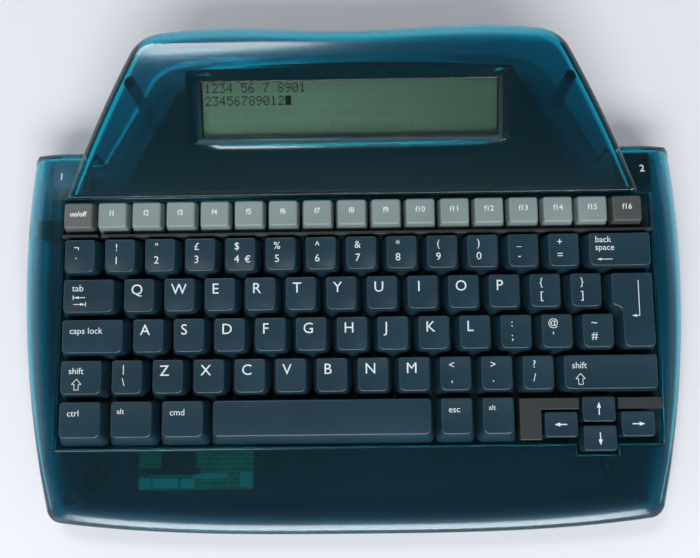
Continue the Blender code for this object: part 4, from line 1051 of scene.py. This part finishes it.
shell_low = parting + 0.3 * mm
posts = bmesh.new()
bores = bmesh.new()
for x, y in screw_places():
    top = hump_height(y) if y > hump_front else rim_height(y)
    add_post(posts, x, y, shell_low, top - wall / 2, 3.0 * mm, 2.7 * mm)
    add_post(bores, x, y, shell_low - 6 * mm, shell_low + 3 * mm, 1.2 * mm)
for side in (-1, 1):
    x = side * (half_width - 20.3 * mm)
    add_block(bores, x, shoulder_rear, 5.7 * mm, 6 * mm, 13.4 * mm, 22.6 * mm)
jack_low, jack_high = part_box("power_jack")
jack_y, jack_z = (jack_low.y + jack_high.y) / 2, (jack_low.z + jack_high.z) / 2
add_box(bores, (jack_low.x - 12 * mm, jack_y - 3.7 * mm, jack_z - 3.7 * mm),
        (jack_low.x, jack_y + 3.7 * mm, jack_z + 3.7 * mm))
room = carve(slab_block(wall, shell_low - 6 * mm), ('UNION', hump_block(wall, shell_low - 6 * mm)),
             ('DIFFERENCE', recess_jacket()),
             ('DIFFERENCE', opening_block([(collar, collar, -12.1 * mm),
                                           (collar, collar, 6 * mm)])))
shell = carve(slab_block(0, shell_low), ('UNION', hump_block(0, shell_low)), ('DIFFERENCE', room),
              ('UNION', posts), ('DIFFERENCE', recess_cutter()),
              ('DIFFERENCE', opening_block(opening_rings)), ('DIFFERENCE', bores))

shell_finish = clouded("moulded tinted polycarbonate, satin gloss", "#0ba4bc", "#0fb0c8", 70, 3.5,
                       0.01, 0.05, Roughness=0.14, IOR=1.58, Transmission_Weight=0.985,
                       Specular_IOR_Level=0.12, Coat_Weight=0.34, Coat_Roughness=0.3,
                       Coat_IOR=1.58)
fit_piece("top_shell", shell, shell_finish, "case", ["upper_case"], 30)


# Port marks. Small white figures printed on the shoulders, one over each socket.

marks = bmesh.new()
for side, figure in ((-1, "1"), (1, "2")):
    printed = bmesh.new()
    add_words(printed, figure, 3.6, 0, 0, 'CENTER', 0.04)
    y = 47.5 * mm
    fall = -shoulder_fall / shoulder_depth
    place = (Matrix.Translation((side * 141.5 * mm, y, rim_height(y) + 0.03 * mm))
             @ Matrix.Rotation(fall, 4, 'X'))
    bmesh.ops.transform(printed, matrix=place, verts=printed.verts)
    pour(marks, printed)
fit_piece("port_marks", marks, ink, "case")


# Display. A clear acrylic window set in the recess floor, a black gasket, and a supertwist
# liquid-crystal glass whose cells show as a faint grid; the dots that are on are near-black. The
# glass's green is lighter at the left and darker at the right, painted light falling across it.

def display_box(bm, low, high):
    verts = add_box(bm, low, high)
    bmesh.ops.transform(bm, matrix=display_plane, verts=verts)


def display_slab(half_u, half_v, low, high):
    """A box round the middle of the display, lying in its plane."""
    bm = bmesh.new()
    display_box(bm, (-half_u, -half_v, low), (half_u, half_v, high))
    return bm


bm = display_slab(display_half_u - 0.15 * mm, display_half_v - 0.15 * mm, -2.1 * mm, -1.1 * mm)
soften(bm, bm.edges[:], 0.15 * mm)
acrylic = clouded("polished clear acrylic", "#f2f7f5", "#f8fbfa", 40, 5, 0.002, 0.05,
                  Roughness=0.03, IOR=1.49, Transmission_Weight=1.0)
fit_piece("clear_window", bm, acrylic, "case", ["display_window"])

ring = carve(display_slab(76.5 * mm, 18.2 * mm, -4.9 * mm, -2.7 * mm),
             ('DIFFERENCE', display_slab(71.3 * mm, 13.0 * mm, -6.0 * mm, -1.0 * mm)))
gasket = clouded("die-cut black foam and ABS", "#08090b", "#101214", 8, 0.4, 0.04, Roughness=0.7,
                 IOR=1.5)
fit_piece("display_gasket", ring, gasket, "case", ["display_bezel"])

hole = display_slab(display_half_u + 0.4 * mm, display_half_v + 0.4 * mm, -6 * mm, 2 * mm)
ceiling = carve(slab_block(wall + 0.1 * mm, shell_low),
                ('UNION', hump_block(wall + 0.1 * mm, shell_low)))
liner = carve(recess_jacket(0.7 * mm), ('DIFFERENCE', recess_jacket(0.1 * mm)),
              ('DIFFERENCE', hole), ('INTERSECT', ceiling))
fit_piece("recess_liner", liner, gasket, "case")

bm = display_slab(75.4 * mm, 17.2 * mm, -9.5 * mm, -5.1 * mm)
soften(bm, bm.edges[:], 0.2 * mm)
cell_pitch, line_pitch, dot_u, dot_v = 3.54 * mm, 6.05 * mm, 0.59 * mm, 0.64 * mm
text_left, text_top = -70.2 * mm, 12.5 * mm
glass, shader = new_finish("supertwist liquid-crystal glass", Roughness=0.22, IOR=1.52)
place = add_node(glass, "TexCoord").outputs["Object"]
turned = add_node(glass, "Mapping", {"vector_type": 'TEXTURE', "Rotation": (display_slope, 0, 0),
                                     "Location": display_plane.translation}, {"Vector": place})
axes = add_node(glass, "SeparateXYZ", {}, {0: turned.outputs["Vector"]})
inside = None
for axis, start, pitch, share in (("X", text_left, cell_pitch, 0.84),
                                  ("Y", text_top, line_pitch, 0.8)):
    offset = add_node(glass, "Math", {"operation": 'SUBTRACT', 1: start}, {0: axes.outputs[axis]})
    flip = add_node(glass, "Math", {"operation": 'MULTIPLY', 1: (1 if axis == "X" else -1) / pitch},
                    {0: offset.outputs[0]})
    part = add_node(glass, "Math", {"operation": 'FRACT'}, {0: flip.outputs[0]})
    within = add_node(glass, "Math", {"operation": 'LESS_THAN', 1: share}, {0: part.outputs[0]})
    if inside:
        inside = add_node(glass, "Math", {"operation": 'MULTIPLY'},
                          {0: inside.outputs[0], 1: within.outputs[0]})
    else:
        inside = within
# Lighter green at the left, darker at the right: painted light falling off across the glass.
across = add_node(glass, "MapRange", {"From Min": -72 * mm, "From Max": 72 * mm},
                  {"Value": axes.outputs["X"]})
field_with_painted_falloff = add_node(glass, "Mix", {"data_type": 'RGBA', 6: rgb("#789c86"), 7: rgb("#587a66")},
                 {0: across.outputs["Result"]})
cells = add_node(glass, "Mix", {"data_type": 'RGBA', "blend_type": 'MULTIPLY', 7: rgb("#f6f7f6")},
                 {0: inside.outputs[0], 6: field_with_painted_falloff.outputs[2]})
glass.node_tree.links.new(cells.outputs[2], shader.inputs["Base Color"])
fit_piece("liquid_crystal_glass", bm, glass, "case", ["lcd_panel"])

digit_rows = {
    "0": (14, 17, 19, 21, 25, 17, 14), "1": (4, 12, 4, 4, 4, 4, 14), "2": (14, 17, 1, 2, 4, 8, 31),
    "3": (31, 2, 4, 2, 1, 17, 14), "4": (2, 6, 10, 18, 31, 2, 2), "5": (31, 16, 30, 1, 1, 17, 14),
    "6": (6, 8, 16, 30, 17, 17, 14), "7": (31, 1, 2, 4, 8, 8, 8), "8": (14, 17, 17, 14, 17, 17, 14),
    "9": (14, 17, 17, 15, 1, 2, 12), "#": (31, 31, 31, 31, 31, 31, 31),
    " ": (0, 0, 0, 0, 0, 0, 0),
}
bm = bmesh.new()
for line, text in enumerate(("1234 56 7 8901", "23456789012#")):
    for column, sign in enumerate(text):
        for row, bits in enumerate(digit_rows[sign]):
            for dot in range(5):
                if bits >> (4 - dot) & 1:
                    u = text_left + column * cell_pitch + (dot + 0.5) * dot_u
                    v = text_top - line * line_pitch - (row + 0.5) * dot_v
                    display_box(bm, (u - 0.285 * mm, v - 0.31 * mm, -5.12 * mm),
                                (u + 0.285 * mm, v + 0.31 * mm, -5.06 * mm))
dots = clouded("switched liquid-crystal dots", "#04090b", "#081014", 6, 0.4, 0.01, 0.1,
               Roughness=0.3, IOR=1.52)
fit_piece("display_dots", bm, dots, "case")

refinish("lcd_board", resist)


# Sockets and jack. Moulded housings with round mouths: a pale one in the left shoulder, a black
# one in the right, each with brass pins, and the barrel jack in the left side.

def socket_piece(name, node, bore, depth, axis, finish):
    low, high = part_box(node)
    centre = (low + high) / 2
    turn = Vector((0, 0, 1)).rotation_difference(Vector(axis)).to_matrix().to_4x4()
    reach = abs(Vector(axis).dot(high - low)) / 2
    body = bmesh.new()
    add_box(body, low, high)
    soften(body, body.edges[:], 0.4 * mm)
    hollow = bmesh.new()
    place = Matrix.Translation(centre) @ turn
    bmesh.ops.create_cone(hollow, cap_ends=True, segments=48, radius1=bore / 2, radius2=bore / 2,
                          depth=depth, matrix=place @ Matrix.Translation((0, 0, reach - depth / 2
                                                                          + 0.5 * mm)))
    pins = bmesh.new()
    for i in range(5):
        angle = radians(-60 + 75 * i)
        at = Matrix.Translation((cos(angle) * bore * 0.28, sin(angle) * bore * 0.28,
                                 reach - depth * 0.6))
        bmesh.ops.create_cone(pins, cap_ends=True, segments=12, radius1=0.4 * mm, radius2=0.3 * mm,
                              depth=depth * 0.7, matrix=place @ at)
    fit_piece(name, carve(body, ('DIFFERENCE', hollow)), finish, "case", [node])
    fit_piece(name + "_pins", pins, brass, "case")


brass = clouded("turned brass", "#b08a3a", "#c9a24e", 2, 0.2, 0.01, 0.1, Roughness=0.25,
                Metallic=1.0)
pale_nylon = clouded("moulded nylon, pale", "#e6fbff", "#f6ffff", 6, 0.3, 0.02, Roughness=0.45,
                     IOR=1.53)
socket_piece("left_socket", "printer_socket", 8.4 * mm, 9 * mm, (0, 1, 0), pale_nylon)
socket_piece("right_socket", "computer_socket", 8.4 * mm, 9 * mm, (0, 1, 0), chips)
socket_piece("barrel_jack", "power_jack", 6.4 * mm, 9.5 * mm, (-1, 0, 0), chips)


# Screws. Zinc-plated pan heads in the pockets of the floor, driven up into the shell's posts.

bm = bmesh.new()
for x, y in open_screws:
    add_post(bm, x, y, 1.5 * mm, 2.4 * mm, 2.0 * mm, 2.2 * mm)
fit_piece("case_screws", bm, steel, "case")


# Studio. A plain pale floor, a room that is dim straight above and bright all round, a soft window
# behind on the left and a broad reflector in front; the camera stands where the photo was taken.

bm = bmesh.new()
bmesh.ops.create_grid(bm, x_segments=1, y_segments=1, size=3.0)
floor = as_object("floor", bm)
paper, shader = new_finish("matt white paper", Roughness=0.9, Base_Color=rgb("#f1f2f6"))
shader.inputs["Specular IOR Level"].default_value = 0.2
floor.data.materials.append(paper)

scene = bpy.context.scene
scene.view_settings.view_transform = 'Standard'
world = bpy.data.worlds.new("room")
scene.world = world
world.use_nodes = True
sky = world.node_tree.nodes["Background"]
direction = add_node(world, "TexCoord").outputs["Generated"]
upward = add_node(world, "SeparateXYZ", {}, {0: direction})
light = add_node(world, "ValToRGB", {}, {"Fac": upward.outputs["Z"]})
light.color_ramp.elements[0].position = 0.45
light.color_ramp.elements[0].color = (0.93, 0.95, 0.99, 1)
light.color_ramp.elements[1].position = 0.76
light.color_ramp.elements[1].color = (0.05, 0.055, 0.065, 1)
sideways = add_node(world, "MapRange", {"From Min": -0.6, "From Max": 0.9, "To Max": 0.45},
                    {"Value": upward.outputs["X"]})
dimmed = add_node(world, "Mix", {"data_type": 'RGBA', "blend_type": 'MULTIPLY', 7: (0, 0, 0, 1)},
                  {0: sideways.outputs["Result"], 6: light.outputs["Color"]})
world.node_tree.links.new(dimmed.outputs[2], sky.inputs["Color"])

for name, spot, aim, width, height, power in (
        ("window", (-0.36, 0.74, 1.5), (0, 0.05, 0.03), 0.46, 0.38, 5.0),
        ("reflector", (0.0, -1.25, 1.15), (0, 0, 0), 1.6, 0.6, 27.0)):
    lamp = bpy.data.lights.new(name, 'AREA')
    lamp.shape = 'RECTANGLE'
    lamp.size = width
    lamp.size_y = height
    lamp.energy = power
    lamp.color = (0.95, 0.97, 1.0)
    holder = bpy.data.objects.new(name, lamp)
    holder.location = spot
    holder.rotation_euler = (Vector(aim) - Vector(spot)).to_track_quat('-Z', 'Y').to_euler()
    scene.collection.objects.link(holder)

camera = bpy.data.cameras.new("camera")
camera.sensor_width = 36
camera.lens = 800 / 700 * 36
camera.clip_end = 20
viewer = bpy.data.objects.new("camera", camera)
seen_from = (Matrix.Translation((2.918 * mm, 13.977 * mm, -376.985 * mm))
             @ Matrix.Rotation(0.0129, 4, 'Z') @ Matrix.Rotation(-0.0118, 4, 'Y')
             @ Matrix.Rotation(-0.1308, 4, 'X') @ Matrix.Translation((0, -2.55 * mm, 0)))
viewer.matrix_world = (seen_from @ key_plane.inverted()).inverted()
scene.collection.objects.link(viewer)
scene.camera = viewer
